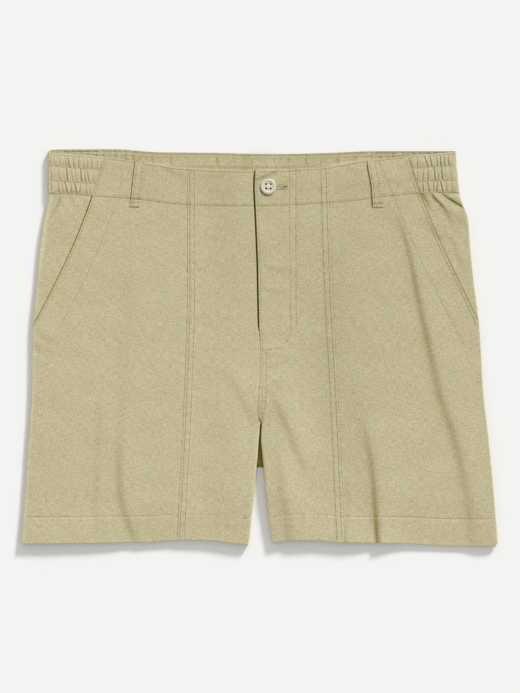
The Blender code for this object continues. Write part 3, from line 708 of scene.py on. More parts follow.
def frontSide(side):
    # from the pocket opening, and below it from the side fold, to the long seam
    inward = inwards[side]
    edge, rowY = crossing(frontRows, sideFolds, side, -240 * inward)
    opening, _ = crossing(frontRows, openings, side, -200 * inward)
    seam, _ = crossing(frontRows, longSeams, side, -80 * inward)
    slant = np.maximum(alongAt(inward, edge, opening), frontSides["pocketEnd"])
    first = mix(gaps["fold"] / 2, slant, ease(*pocketFoot, rowY))
    last = alongAt(inward, edge, seam) - gaps["seam"] / 2
    beside = alongAt(inward, edge, loopEdge(side, rowY))
    reach = frontSides["besideLoop"]
    low = np.maximum(beside - reach, first + 9)
    high = np.maximum(beside + reach, first + 12)
    outer = spread(first, low, frontSides["nearEdge"], (0,), frontSides["outerColumns"])
    near = mix(low, high, np.linspace(0, 1, frontSides["loopColumns"] + 2)[1:-1])
    inner = spread(high, last, (0,), frontSides["nearSeam"], frontSides["innerColumns"])
    along = np.hstack([outer, near, inner])
    x = foldX(inward, edge, along)
    y = frontRow(frontRows, x)
    level = ease(1.5, 5.0, along)
    fromEdge = along - first
    fromSeam = last - along
    z = foldHeight(inward, edge, along, y)
    z = z + level * (hemRelief(x, y, 11) + bandRelief(x, y, 12) + bagRelief(side, x, y))
    free = ease(14, 30, y) * mix(1.0, 0.2, ease(1.0, 1.06, frontRows))  # the opening's edge, below the band
    z = z + free * (0.3 * dent(fromEdge, 1.7) - frontSides["groove"][side] * dent(fromEdge - 2.1, 0.45))
    z = z + free * 0.04 * ripple(y, 0.4 * fromEdge, 8, 13) * dent(fromEdge, 5)
    z = z - 0.05 * dent(fromSeam, 0.7) + 0.05 * ripple(y, 0.5 * fromSeam, 7, 14) * dent(fromSeam, 7)
    wall = np.where(along > 2.2, frontWall, walls["single"])
    # painted shadow beside the loop, painted shade in creases, painted light on the rolled fold
    tone = besideLoop(side, x, y) + paintedCreaseShade(x, y) + paintedRimTone(side, along, y)
    name = "frontSide" + side.title()
    piece = makeCloth(name, x, y, z, wall, side == "right", tone, frontSides["inside"])
    return finishHalf(piece, clothFinish, side, "front_side_")


frontCentres = {
    "columns": 34,
    "rows": (2.75, 8.25),  # the two lines of stitching on the raised allowance beside the long seam
    "flyRows": (33.2, 40.2),  # and the fly's two
    "rise": {"left": 0.3, "right": 0.2},
    "draw": {"left": 0.2, "right": 0.12},
    "nearSeam": (0, 0.3, 0.7, 1.3, 1.9, 2.35, 2.75, 3.15, 3.8, 4.8, 5.8, 6.8, 7.4, 7.85, 8.25, 8.65, 9.1,
                 9.7, 10.6),
    "nearFly": (-9, -7, -5.5, -4.4, -3.6, -3.1, -2.75, -2.5, -2.3, -2.1, -1.9, -1.6, -1.1, -0.4, 0.4),
    "nearEdge": (0, 0.35, 0.8, 1.3, 1.7, 2.05, 2.4, 2.8, 3.4, 4.2, 5.2),
    "slit": {"y": [-96, -82, -30, 2, 14, 24, 40, 200], "depth": [0, 0.4, 0.4, 0.4, 1.0, 2.2, 3.2, 3.2]},
    # painted shade in the fly's slit
    "slitShade": -0.68,
    # painted light on the rolled inner edges of the legs
    "paintedRimTone": {"left": 0.1, "right": 0.4},
    "underlap": 5.0,
    "bandUnderlap": 33.0,
    "left": {"flat": (0.115, 0.415), "area": 0.035},
    "right": {"flat": (0.100, 0.415), "area": 0.034},
}


def fellRelief(side, fromSeam, y):
    z = frontCentres["rise"][side] * ease(9.8, 8.7, fromSeam) * ease(-0.4, 0.9, fromSeam)
    for row in frontCentres["rows"]:
        z = z - frontCentres["draw"][side] * dent(fromSeam - row, 0.5)
    seed = {"left": 21, "right": 23}[side]
    pucker = 0.06 * ripple(y, 0.35 * fromSeam, 6.5, seed) + 0.03 * ripple(y, 0.5 * fromSeam, 11, seed + 1)
    return z + pucker * ease(15, 8, fromSeam)


def frontCentre(side):
    # from the long seam to the fly, the crotch seam and the inner edge of the leg
    inward = inwards[side]
    seam, _ = crossing(frontRows, longSeams, side, -80 * inward)
    seam = seam + inward * gaps["seam"] / 2
    fly, flyY = crossing(frontRows, flyEdge, "x", 0.0)
    leg, legY = crossing(frontRows, innerLegs, side, 0.0)
    inLeg = legY <= forks["front"]
    roll = ease(forks["front"], forks["front"] - forks["frontBlend"], legY) * inLeg
    nearSeam = frontCentres["nearSeam"]
    if side == "left":
        reach = np.where(frontRows >= 1, frontCentres["bandUnderlap"], frontCentres["underlap"])
        dip = np.where(frontRows >= 1, gaps["bandUnder"], follow(frontCentres["slit"], "depth", flyY))
        edge = np.where(inLeg, mix(fly + 1.0, leg, roll), fly + reach)
        start = mix(fly, edge, roll)
        near = start + np.array(frontCentres["nearFly"])
        beyond = mix(near[:, -1:], edge, np.array([0.25, 0.5, 0.75, 1.0]))
        first = spread(seam, near[:, :1], nearSeam, (0,), frontCentres["columns"])
        flat = np.hstack([first, near[:, 1:], beyond])
    else:
        edge = np.where(inLeg, leg, fly)
        flat = -spread(-seam, -edge, nearSeam, frontCentres["nearEdge"], frontCentres["columns"])
    reachBack = inward * (edge - flat)  # how far short of the inner edge
    turn = np.clip(1 - reachBack / lie["foldArc"], 0, 1)
    rolled = edge - inward * lie["foldWidth"] * (1 - turnedUp(turn))
    x = np.where(reachBack < lie["foldArc"], mix(flat, rolled, roll), flat)
    y = frontRow(frontRows, x)
    z = frontHeight(x, y)
    fromSeam = inward * (x - seam)
    z = z + hemRelief(x, y, 11) + bandRelief(x, y, 12) + fellRelief(side, fromSeam, y)
    tone = paintedCreaseShade(x, y)
    if side == "left":
        beside = fly - x
        z = z - dip * mix(ease(1.2, 0.2, beside), ease(2.1, 1.5, beside), ease(0.8, 2.2, dip))
        # painted shade in the slit beside the fly
        tone = frontCentres["slitShade"] * ease(1.9, 1.4, beside) * ease(1.2, 2.6, dip) + tone
    else:
        past = x - edge
        shown = 1 - roll
        z = z + shown * (0.15 * dent(past - 1.0, 1.0) - 0.3 * dent(past, 0.5) - 0.2 * dent(past - 2.2, 0.5))
        stitched = ease(8, 24, y)
        z = z - stitched * sum(0.16 * dent(x - line, 0.8) for line in frontCentres["flyRows"])
        z = z + 0.12 * stitched * ease(34.5, 32.5, x)
        z = z + 0.05 * ripple(y, 0.3 * x, 8, 25) * (dent(x - 36, 6) + dent(past, 6))
    z = mix(z, mix(z, forkFloor(y) + gaps["fork"] / 2, turnedIn(turn)), roll)
    wall = np.where((roll > 0.05) & (turn > 0.5), walls["single"], frontWall)
    # painted light along the rolled inner leg edge
    tone = tone + frontCentres["paintedRimTone"][side] * roll * ease(0.05, 0.5, turn)
    # painted shade on the inner face, on the left only low down at the fork
    inside = frontSides["inside"] * (1.0 if side == "right" else ease(-70, -84, y))
    piece = makeCloth("frontCentre" + side.title(), x, y, z, wall, side == "right", tone, inside)
    return finishHalf(piece, clothFinish, side, "front_centre_")


hipPockets = {
    "rows": stepsBetween(0.585, 1.0, 96, (0.9985, 0.9996)),
    "visible": 34,
    "hidden": 14,
    "margin": 0.5,
    "before": (-3.0, -2.2, -1.6, -1.1, -0.7, -0.35, 0.0),
    "inside": (0.4, 0.8, 1.3, 2.0, 2.8, 3.7, 4.6),
    "dip": 0.62,
    # painted shade along the turned-over seam, and its width
    "seamTone": {"left": -0.17, "right": -0.68},
    "seamWidth": {"left": 1.7, "right": 0.9},
    # painted shadow along the opening
    "line": {
        "y": [24, 60, 100, 130, 148, 158, 166, 171],
        "left": [0.5, 0.52, 0.56, 0.64, 0.82, 0.9, 0.9, 0.5],
        "right": [-0.03, -0.03, -0.03, -0.03, 0, 0, 0, 0],
    },
    "settle": {"left": 1.2, "right": 2.4},
    "left": {"flat": (0.085, 0.165), "area": 0.0092},
    "right": {"flat": (0.085, 0.165), "area": 0.0092},
}


def turnOverPaintedShade(side, aside, y):
    # painted shade along the seam where the back comes round to the front
    along = ease(140, 160, y) * mix(1.0, 0.45, ease(162, 167, y))
    return hipPockets["seamTone"][side] * dent(aside, hipPockets["seamWidth"][side]) * along


def hipPocket(side):
    # the pocket's back: it shows from the side seam to the opening, and runs on behind the front
    inward = inwards[side]
    rows = hipPockets["rows"]
    edge, rowY = crossing(rows, sideFolds, side, -240 * inward)
    opening, _ = crossing(rows, openings, side, -200 * inward)
    bag, _ = crossing(rows, bagLines, side, -200 * inward)
    turned = np.maximum(follow(turnOvers, side, rowY), 0.0) + gaps["turned"] / 2
    first = mix(lie["foldArc"] + 0.2, turned, ease(*pocketFoot, rowY))
    visible = np.maximum(alongAt(inward, edge, opening) - hipPockets["margin"], first + 0.6)
    inside = np.array(hipPockets["inside"])
    behind = np.maximum(alongAt(inward, edge, bag), visible + inside[-1] + 1)
    before = visible + np.array(hipPockets["before"]) * np.minimum((visible - first) / 4, 1.0)
    near = mix(first, before[:, :1], np.linspace(0, 1, hipPockets["visible"])[:-1])
    second = first + np.minimum(0.12, 0.3 * (near[:, 1:2] - first))
    near = np.hstack([near[:, :1], second, near[:, 1:], before])
    steps = visible + inside
    far = mix(steps[:, -1:], behind, np.linspace(0, 1, hipPockets["hidden"] + 1)[1:])
    along = np.hstack([near, steps, far])
    x = foldX(inward, edge, along)
    row = rows - 0.02 * ease(0.95, 0.99, rows) * (along > visible)
    y = frontRow(row, x) - gaps["seam"] * ease(0.98, 1.0, rows)
    z = foldHeight(inward, edge, along, y)
    ahead = visible - along
    covered = ease(*pocketFoot[::-1], rowY)
    dip = hipPockets["dip"] * ease(hipPockets["settle"][side], 0.0, ahead)
    dip = dip + (gaps["under"] - hipPockets["dip"]) * ease(-0.6, -4.0, ahead)
    dip = mix(dip, gaps["under"] + 0.45, covered)
    sunk = ease(1.2, -1.0, ahead)
    z = z - dip + (1 - sunk) * (1 - covered) * 0.06 * ripple(x, y, 10, 41)
    z = z - 0.12 * dent(along - first, 0.6) * (1 - covered) * ease(5, 8, along)
    # painted light on the rolled side; painted shade in creases, along the opening and at the seam
    tone = paintedRimTone(side, along, y) + paintedCreaseShade(x, y)
    tone = tone - follow(hipPockets["line"], side, y) * dent(ahead - 0.1, 0.6)
    tone = tone + turnOverPaintedShade(side, along - first, y)
    piece = makeCloth("hipPocket" + side.title(), x, y, z, walls["single"], side == "right", tone)
    return finishHalf(piece, clothFinish, side, "hip_pocket_")


backs = {
    "rows": stepsBetween(0, 1, 150, (0.001, 0.0025, 0.0765, 0.0795, 0.2125, 0.2141, 0.2156, 0.2172, 0.9985,
                                     0.9996)),
    "columns": 92,
    "inner": (1.0, 0.96, 0.88, 0.76, 0.62, 0.45, 0.28, 0.12, 0.0),
    "outer": (0.0, 0.1, 0.2, 0.3, 0.4, 0.5, 0.6, 0.7, 0.8, 0.88, 0.95, 0.985, 1.0),
    "middle": 1.5,
    # painted shade on the back's inner face between the legs
    "forkShade": -0.44,
    "left": {"flat": (0.275, 0.40), "area": 0.098},
    "right": {"flat": (0.265, 0.40), "area": 0.095},
}
backFolds = [
    fold(y=[140, 60, -10, -60], x=[-192, -198, -209, -216], rise=[0, 0.9, 0.8, 0], width=[5, 6, 6, 7]),
    fold(y=[-60, -120, -170, -222], x=[-62, -84, -98, -108], rise=[0, 0.8, 1.0, 0.8], width=6),
    fold(y=[-94, -120, -160], x=[-12, -34, -62], rise=[0, 0.8, 0], width=[5, 5, 6]),
    fold(y=[140, 60, 0, -70], x=[186, 192, 200, 206], rise=[0, 0.9, 0.8, 0], width=[6, 6, 7, 8]),
    fold(y=[-30, -100, -160, -222], x=[94, 108, 116, 122], rise=[0, 0.8, 1.1, 0.9], width=[6, 7, 6, 6]),
    fold(y=[-98, -140, -196], x=[17, 38, 58], rise=[0, 0.8, 0], width=[5, 6, 6]),
    fold(x=[-128, -104, -82], y=[62, 44, 22], rise=[0, 0.5, 0], width=5),
    fold(x=[56, 82, 108], y=[38, 60, 76], rise=[0, 0.5, 0], width=5),
]


def backRelief(x, y):
    # everything that lifts the back's outer face off the ground: folds, gathers under the casing, stitching
    z = np.zeros_like(x)
    for table in backFolds:
        at, aside = asideOf(table, x, y)
        z = z + follow(table, "rise", at) * dent(aside, 1.0)
    below = follow(backLine, "y", x) - y
    gathered = ease(60, 4, below) * ease(-2, 2, below) * mix(0.35, 1.0, ease(80, 150, abs(x)))
    z = z + 0.5 * gathered * np.maximum(ripple(x, 0.12 * y, 13, 51), 0)
    up = y - follow(hemEdge, "y", x)
    z = z + 0.2 * dent(up - hem["stitched"], 0.9)
    z = z + 0.05 * np.maximum(ripple(x, 0.2 * y, 9, 52), 0) * ease(36, 28, up)
    z = z + ease(forks["back"] - 6, forks["back"] + 6, y) * (0.3 * dent(x - backs["middle"], 0.8))
    return z + 0.1 * np.maximum(1.2 + ripple(x, y, 45, 53), 0.0) * ease(0, 6, up)


def back(side):
    # half of the back: flat on the ground, turned up at the inner leg and round over the side fold
    inward = inwards[side]
    rows = backs["rows"]
    edge, sideY = crossing(rows, sideFolds, side, -240 * inward, backRow)
    middle, innerY = crossing(rows, innerLegs, side, 0.0, backRow)
    joined = ease(forks["back"] - 0.5, forks["back"] + 0.5, innerY)
    middle = mix(middle, backs["middle"] - inward * gaps["seam"] / 2, joined)
    roll = ease(forks["back"], forks["back"] - forks["blend"], innerY)
    turn = np.array(backs["inner"])
    plain = middle - inward * lie["foldArc"] * (1 - turn)
    rolled = middle - inward * lie["foldWidth"] * (1 - turnedUp(turn))
    innerX = mix(plain, rolled, roll)
    rim = (forkFloor(backRow(rows, innerX)) - gaps["fork"] / 2) * turnedIn(turn) * roll
    shares = np.linspace(0, 1, backs["columns"] + 2)[1:-1]
    flatX = mix(innerX[:, -1:], edge + inward * lie["foldWidth"], shares)
    end = np.maximum(follow(turnOvers, side, sideY), 0.0) - gaps["turned"] / 2
    along = mix(-lie["foldArc"], end, np.array(backs["outer"]))
    outerX = foldX(inward, edge, along)
    outerY = np.where(along > 0, frontRow(rows, outerX), sideY)
    outerZ = foldHeight(inward, edge, along, outerY)
    innerPart = np.hstack([innerX, flatX])
    innerY = backRow(rows, innerPart)
    rims = np.hstack([rim, np.zeros_like(flatX)])
    innerZ = np.maximum(rims, loopLift(innerPart, innerY)) + backRelief(innerPart, innerY)
    lifted = innerZ[:, -1:] * ease(0, -lie["foldArc"], along) * (along < 0)
    x = np.hstack([innerPart, outerX])
    y = np.hstack([innerY, outerY]) - gaps["seam"] * (rows >= 1)
    z = np.hstack([innerZ, outerZ + lifted])
    wall = np.where(rows <= hem["row"], walls["turned"], walls["single"]) * np.ones_like(x)
    wall[:, -len(backs["outer"]) // 2 :] = walls["single"]
    nearFork = ease(14, 9, abs(x))
    inFork = nearFork * ease(-142, -126, y) * ease(-52, -70, y)
    # painted light on the rolled side, painted shade at the turned seam and in the creases
    seamTone = turnOverPaintedShade(side, along - end, outerY)
    creases = paintedCreaseShade(outerX, outerY) * (along > 0)
    tone = np.hstack([np.zeros_like(innerPart), paintedRimTone(side, along, outerY) + seamTone + creases])
    # painted shade on the inner face at the fork, and a darker painted line along its lower edge
    insideTone = backs["forkShade"] * inFork - 0.25 * dent(y - forks["back"] - 1.2, 1.6) * nearFork
    piece = makeCloth("back" + side.title(), x, y, z, wall, side == "right", tone, insideTone)
    return finishHalf(piece, insideFinish, side, "back_")


casing = {
    "tall": 44,  # mm from the stitch line to the top
    "rows": stepsBetween(1, 2, 56, (1.003, 1.955, 1.985, 1.996)),
    "stitchRows": (1.018, 1.31, 1.665, 1.955),
    "frontColumns": 118,
    "foldColumns": 11,
    "backColumns": 350,
    "puffs": (0.36, 0.56, 0.6),
    "crease": 1.3,
    "creaseWidth": 0.52,
    "flat": (0.72, 0.045),  # in metres
}
# the creases the elastic draws between its rows of stitching: place, lean and depth, lowest channel first
gathers = {
    "left": [
        [(-229, 0.5, 0.5), (-221.5, 0.5, 0.6), (-217.5, 1.5, 0.4), (-213, 3, 1.0), (-207.5, 0.6, 0.6),
         (-202.5, 3, 1.1), (-197.5, -2, 0.8), (-191, 0.8, 0.5), (-186.5, -0.8, 0.4)],
        [(-229, 0.6, 0.3), (-221, 2, 0.4), (-212, 1.4, 1.2), (-206.5, 2, 0.5), (-202.5, 1, 0.4),
         (-196.5, 1, 1.2), (-192.5, 2, 0.6), (-189, 2.4, 0.7), (-183.5, 0.4, 0.3)],
        [(-231, 1.6, 0.5), (-226, 1.5, 0.3), (-220, 1.5, 0.4), (-213.5, 2.5, 0.5), (-210.5, 2.5, 0.9),
         (-205, 2, 0.7), (-199, -0.4, 0.8), (-194, 0.5, 0.4), (-190, 1.5, 0.4), (-185, 0.3, 0.6),
         (-179, 0.3, 0.3)],
    ],
    "right": [
        [(179.5, 1.0, 0.9), (182, 0.6, 0.3), (185.5, 2.4, 1.0), (191.2, 0.2, 0.6), (195, -1.6, 0.9),
         (200, 3.0, 1.1), (205.2, 0.4, 0.6), (211.1, 1.0, 0.35)],
        [(168.5, 1.8, 0.8), (173.2, 0.2, 0.45), (179.9, -1.8, 0.8), (184.8, 0.4, 0.8), (192.4, 1.6, 1.15),
         (195.4, 3.6, 0.45), (200.3, 1.8, 1.15), (203.4, 0.4, 0.3), (210, 1.0, 0.2)],
        [(166.5, -2.4, 0.6), (173.2, 0.1, 0.85), (176.2, 0.4, 0.25), (183, 4.2, 1.0), (188.1, 2.4, 0.9),
         (194.8, 1.0, 0.65), (198.7, 0.6, 1.0), (202.8, 0.6, 0.8), (207.3, 1.2, 0.65), (212, 0.6, 0.2)],
    ],
}


def channelShares(row):
    # which channel a row lies in, and how far up it
    lines = casing["stitchRows"]
    channel = np.clip(np.searchsorted(lines, row, side="right") - 1, 0, len(lines) - 2)
    low = np.array(lines)[channel]
    high = np.array(lines)[channel + 1]
    return channel, np.clip((row - low) / (high - low), 0, 1)


def eachGather(creases, x, channel, share):
    # every crease in turn: whether a place is in its channel, how deep it is, and how far aside it lies
    for number, table in enumerate(creases):
        for place, lean, depth in table:
            yield channel == number, depth, x - (place - lean * (share - 0.5))


def gatherRelief(creases, x, row):
    # channels puff between the stitching, and the creases cut across them
    channel, share = channelShares(row)
    z = np.array(casing["puffs"])[channel] * np.sin(math.pi * share) ** 0.8
    reach = ease(0.0, 0.12, share) * ease(1.0, 0.9, share) * mix(1.0, 0.55, share)
    for here, depth, aside in eachGather(creases, x, channel, share):
        z = z - here * casing["crease"] * depth * reach * dent(aside, casing["creaseWidth"])
        z = z + here * 0.3 * depth * reach * dent(aside - 1.6, 1.2)
    return z


def gatherPaintedShade(creases, x, row):
    # painted shade in the creases
    channel, share = channelShares(row)
    tone = np.zeros_like(x)
    reach = ease(0.0, 0.1, share) * ease(1.0, 0.85, share) * mix(1.0, 0.6, share)
    for here, depth, aside in eachGather(creases, x, channel, share):
        tone = tone - here * 0.16 * depth * reach * dent(aside, 0.55)
    return tone


def backGathers():
    # along the back the elastic pulls hardest near the sides, and only loosely at the middle
    rng = np.random.RandomState(61)
    found = []
    for _ in range(len(casing["stitchRows"]) - 1):
        row = []
        x = -226.0
        while x < 210:
            near = abs(x) > 128
            row.append((x, rng.uniform(-2, 3), rng.uniform(0.5, 1.0) if near else rng.uniform(0.15, 0.5)))
            x += rng.uniform(4.5, 8.0) if near else rng.uniform(9, 21)
        found.append(row)
    return found


# soft creases on the inner face of the back, which shows above the front's edge
innerFolds = {
    "x": [-214, -206, -199, -190, -181, -172, -160, -149, -138, -120, -98, -72, -47, -30, -8, 15, 31, 50,
          68, 86, 104, 122, 134, 146, 157, 168, 176, 185, 194, 203],
    "lean": [1, -1, 2, 1, 3, -1, 2, 3, -2, 4, 2, -3, 1, 2, -2, 2, 1, 3, -2, 1, 4, 2, -2, 3, 1, 2, -1, 2, 1,
             2],
    "depth": [0.8, 0.6, 0.9, 0.7, 0.9, 0.7, 0.8, 0.6, 0.6, 0.4, 0.35, 0.3, 0.7, 0.35, 0.3, 0.5, 0.45, 0.7,
              0.3, 0.5, 0.4, 0.5, 0.7, 0.6, 0.8, 0.7, 0.9, 0.7, 0.8, 0.6],
}


def innerCreases(x, row):
    z = np.zeros_like(x * row)
    for place, lean, depth in zip(*innerFolds.values()):
        middle = place + lean * (2 - row) * 2
        drawn = 0.54 * depth * mix(1.0, 0.4, ease(0.55, 0.8, depth))
        z = z - drawn * dent(x - middle, 1.2) + 0.5 * drawn * dent(x - middle - 2.8, 1.6)
        dash = 0.4 * ease(0.5, 0.8, depth) * dent((row - 1.945) * casing["tall"], 1.0)
        z = z - dash * dent(x - middle, 1.5)
    z = np.clip(z, -1.1, 1.1) - 0.12 * dent((row - 1.845) * casing["tall"], 1.0)
    return z - 0.2 * dent((row - casing["stitchRows"][-1]) * casing["tall"], 0.6)


def innerPaintedShadeAndLight(x, row):
    # painted shade in those creases, along the top edge and a little all over, and painted light beside the
    # front's edge
    fromTop = (2 - row) * casing["tall"]
    tone = -0.045 - 0.12 * dent(fromTop - 0.3, 0.9) + 0.08 * dent(fromTop - 4.6, 2.2) + np.zeros_like(x)
    for place, lean, depth in zip(*innerFolds.values()):
        middle = place + lean * (2 - row) * 2
        tone = tone - 0.36 * depth * dent(x - middle, 1.25) * ease(1.68, 1.76, row) * ease(1.93, 1.86, row)
    above = backRow(row, x) - follow(frontTop, "y", x)
    # painted shade in the slit between the band's ends
    tone = tone - 0.6 * dent(x + 4.9, 0.9) * ease(2.4, 0.8, above)  # the slit between the band's ends
    return tone + 0.34 * ease(4.0, 0.6, above) * ease(150, 110, abs(x))


def elasticCasing():
    # from the right pocket opening round that side, across the back and round to the left opening
    row = casing["rows"]
    parts = {}
    ends = {}  # where the casing leaves each side fold for the back
    for side, inward in inwards.items():
        edge, sideY = crossing(row, sideFolds, side, -230 * inward, backRow)
        opening, _ = crossing(row, openings, side, -180 * inward)
        start = opening - inward * gaps["seam"]
        shares = np.linspace(0, 1, casing["frontColumns"])
        frontX = mix(start, edge + inward * lie["foldWidth"], shares)
        fromStart = abs(frontX - start)
        frontY = frontRow(row, frontX)
        level = frontHeight(frontX, frontY)
        base = mix(level, lie["casingTop"] - 0.2, ease(0.5, 4.0, fromStart))
        base = mix(level + 0.1, base, ease(1.0, 1.12, row))
        toFold = abs(frontX - edge)
        base = mix(base, lie["casingTop"], ease(10, 3, toFold))
        relief = gatherRelief(gathers[side], frontX, row)
        relief = relief * ease(0.3, 2.0, fromStart) * ease(1.5, 4.5, toFold)
        along = np.linspace(lie["foldArc"], -lie["foldArc"], casing["foldColumns"] + 2)[1:-1]
        _, share = channelShares(row)
        bulge = 0.45 * np.sin(math.pi * share) * np.cos(along / lie["foldArc"] * quarterTurn)
        foldedX = foldX(inward, edge, along) - inward * bulge
        foldedZ = foldHeight(inward, edge, along, sideY, lie["casingMiddle"], lie["casingTop"])
        foldedZ = foldedZ + np.zeros_like(foldedX)
        foldedY = mix(sideY, frontRow(row, foldedX), ease(-0.4, 1.0, along / lie["foldArc"]))
        # painted shade in the gathers, painted light on the rolled fold
        gathered = gatherPaintedShade(gathers[side], frontX, row)
        foldTone = 0.3 * paintedRimTone(side, along, foldedY) + np.zeros_like(foldedX)
        parts[side] = [(frontX, frontY, base + relief, gathered), (foldedX, foldedY, foldedZ, foldTone)]
        ends[side] = edge + inward * lie["foldWidth"]
    backX = mix(ends["right"], ends["left"], np.linspace(0, 1, casing["backColumns"]))
    backY = backRow(row, backX)
    pull = gatherRelief(backGathers(), backX, row)
    calm = ease(3, 12, backX - ends["left"]) * ease(3, 12, ends["right"] - backX)
    backZ = loopLift(backX, backY) + np.maximum(casing["puffs"][-1] - pull, 0.0) * 0.6 * calm
    inside = walls["turned"] + innerCreases(backX, row) * calm
    (leftFront, leftFold), (rightFront, rightFold) = parts["left"], parts["right"]
    ordered = [rightFront, rightFold, (backX, backY, backZ, innerPaintedShadeAndLight(backX, row))]
    ordered += [tuple(a[:, ::-1] for a in leftFold), tuple(a[:, ::-1] for a in leftFront)]
    x, y, z, tone = (np.hstack([part[i] for part in ordered]) for i in range(4))
    wall = np.full_like(x, walls["turned"])
    ahead = rightFront[0].shape[1] + rightFold[0].shape[1]
    wall[:, ahead : ahead + backX.shape[1]] = inside
    y = y + gaps["seam"] / 2 * (row <= 1)
    z = z - 0.25 * dent((2 - row) * casing["tall"], 0.7) * (z > lie["casingMiddle"])
    piece = makeCloth("elasticCasing", x, y, z, wall, tone=tone)
    return finishPiece(piece, clothFinish, ["waistband_elastic"])


facing = {"end": -4.0, "width": 43.0, "rows": 60, "columns": 20, "flat": (0.043, 0.155)}


def flyFacing():
    # the layer behind the curved stitching of the fly
    shares = stepsBetween(0, 1, facing["rows"] - 1)
    top = float(follow(bandLine, "y", 20.0)) - 8
    y = mix(facing["end"], top, shares)
    left = follow(flyEdge, "x", y) + 0.8
    width = facing["width"] * np.sqrt(1 - (1 - np.minimum(shares / 0.25, 1.0)) ** 2 * 0.8)
    x = left + width * np.linspace(0, 1, facing["columns"])
    y = y * np.ones_like(x)
    z = frontHeight(x, y) - gaps["under"]
    piece = makeCloth("flyFacing", x, y, z, walls["facing"])
    return finishPiece(piece, insideFinish, ["fly_facing"])


def beltLoop(side):
    # a strap from the waist edge to its folded, bar-tacked foot
    line = loops[side]
    tall = line["y"][-1] - line["y"][0]
    footRow = line["foot"] / tall
    extra = (0.006, 0.012, footRow - 0.007, footRow + 0.007, 0.997)
    shares = stepsBetween(0, 1, loops["rows"] - 1, extra)
    middle = np.linspace(-0.65, 0.65, loops["columns"] - 8)
    across = np.array([-1, -0.97, -0.9, -0.8, *middle, 0.8, 0.9, 0.97, 1])
    y = mix(line["y"][0], line["y"][-1], shares) * np.ones_like(across)
    foot = ease(footRow + 0.012, footRow - 0.012, shares)
    end = dent(shares * tall, 1.0)
    x = follow(line, "x", y) + across * (loops["width"] / 2) * (1 + 0.04 * foot)
    surface = np.maximum(frontHeight(x, y), 0) + bandRelief(x, y, 12)
    lift = walls["loop"] + 0.1 + loops["slack"] * np.sin(math.pi * ease(0.15, 1.0, shares))
    z = surface + lift - 0.25 * foot - 0.3 * end - 0.12 * abs(across) ** 8
    z = z - 0.12 * dent((abs(across) - 0.6) * loops["width"] / 2, 0.5) * (1 - foot)
    folded = dent((shares - footRow) * tall, 0.6)
    z = z - 0.3 * folded - 0.15 * foot * dent((shares - footRow / 2) * tall, 0.8)
    z = z + 0.08 * ripple(x * 0.4, y, 7, 71)
    wall = walls["loop"] - (0.25 * foot + 0.22 * end) * np.ones_like(x)
    # painted shade along the foot's fold and the lower end, painted light along the left edge
    tone = -0.24 * folded - 0.2 * end + 0.12 * ease(-0.86, -0.97, across) * (1 - foot)
    piece = makeCloth("beltLoop" + side.title(), x, y, z, wall, tone=tone)
    return finishPiece(piece, clothFinish, ["belt_loop_" + side])


def backLoop():
    # the hidden one, flat on the ground under the casing
    shares = stepsBetween(0, 1, loops["backRows"] - 1)
    across = np.array([-1, -0.97, -0.9, -0.8, -0.6, -0.3, 0, 0.3, 0.6, 0.8, 0.9, 0.97, 1])
    y = mix(*loops["backEnds"], shares) * np.ones_like(across)
    x = across * loops["width"] / 2 * np.ones_like(y)
    z = 0.3 * abs(across) ** 6 + 0.1 * dent((abs(across) - 0.6) * 5.7, 0.5) + np.zeros_like(x)
    piece = makeCloth("beltLoopBack", x, y, z, walls["loop"], True)
    return finishPiece(piece, clothFinish, ["belt_loop_back"])


fronts = [frontSide("left"), frontSide("right"), frontCentre("left"), frontCentre("right")]
for side in inwards:
    hipPocket(side)
print("front laid out")
backPieces = [back("left"), back("right")]
casingPiece = elasticCasing()
print("back and elastic casing laid out")
flyFacing()
loopPieces = [beltLoop("left"), beltLoop("right"), backLoop()]
print("facing and belt loops laid out")

# topstitching: one stitch is modelled, then laid along every line
stitchSize = {"length": 2.3, "radius": 0.24, "pitch": 3.0, "pit": 0.5, "pitHeight": 0.16}


def lyingRod(vertices, radius, length):
    # a closed cylinder along x
    bpy.ops.mesh.primitive_cylinder_add(
        vertices=vertices, radius=radius, depth=length, end_fill_type="TRIFAN", rotation=(0, quarterTurn, 0)
    )
    bpy.ops.object.transform_apply(location=False, rotation=True, scale=False)
    return bpy.context.object


def modelStitch(length, radius):
    # a short thread that dips into the cloth at both ends
    stitch = lyingRod(6, radius * mm, length * mm)
    bpy.ops.object.mode_set(mode="EDIT")
    for way in (-1, 1):
        bpy.ops.mesh.select_all(action="SELECT")
        bpy.ops.mesh.bisect(plane_co=(way * length * mm / 4, 0, 0), plane_no=(1, 0, 0))
    bpy.ops.object.mode_set(mode="OBJECT")
    for vert in stitch.data.vertices:
        end = min(abs(vert.co.x) / (length * mm / 2), 1.0)
        vert.co.y *= 1 - 0.45 * end**3
        vert.co.z *= 1 - 0.45 * end**3
        vert.co.z += (0.55 - 1.5 * end**2) * radius * mm
    return stitch


def modelPit(radius, height):
    # the small dimple a needle leaves, a flat lens set into the cloth; its dark finish paints the dimple's
    # shade
    bpy.ops.mesh.primitive_uv_sphere_add(segments=7, ring_count=3, radius=radius * mm)
    pit = bpy.context.object
    for vert in pit.data.vertices:
        vert.co.z *= height / radius
    return pit


def meshArrays(piece):
    points = np.array([v.co for v in piece.data.vertices])
    faces = [list(p.vertices) for p in piece.data.polygons]
    return points, faces


def surfaceOf(pieces):
    depsgraph = bpy.context.evaluated_depsgraph_get()
    return [BVHTree.FromObject(piece, depsgraph) for piece in pieces]


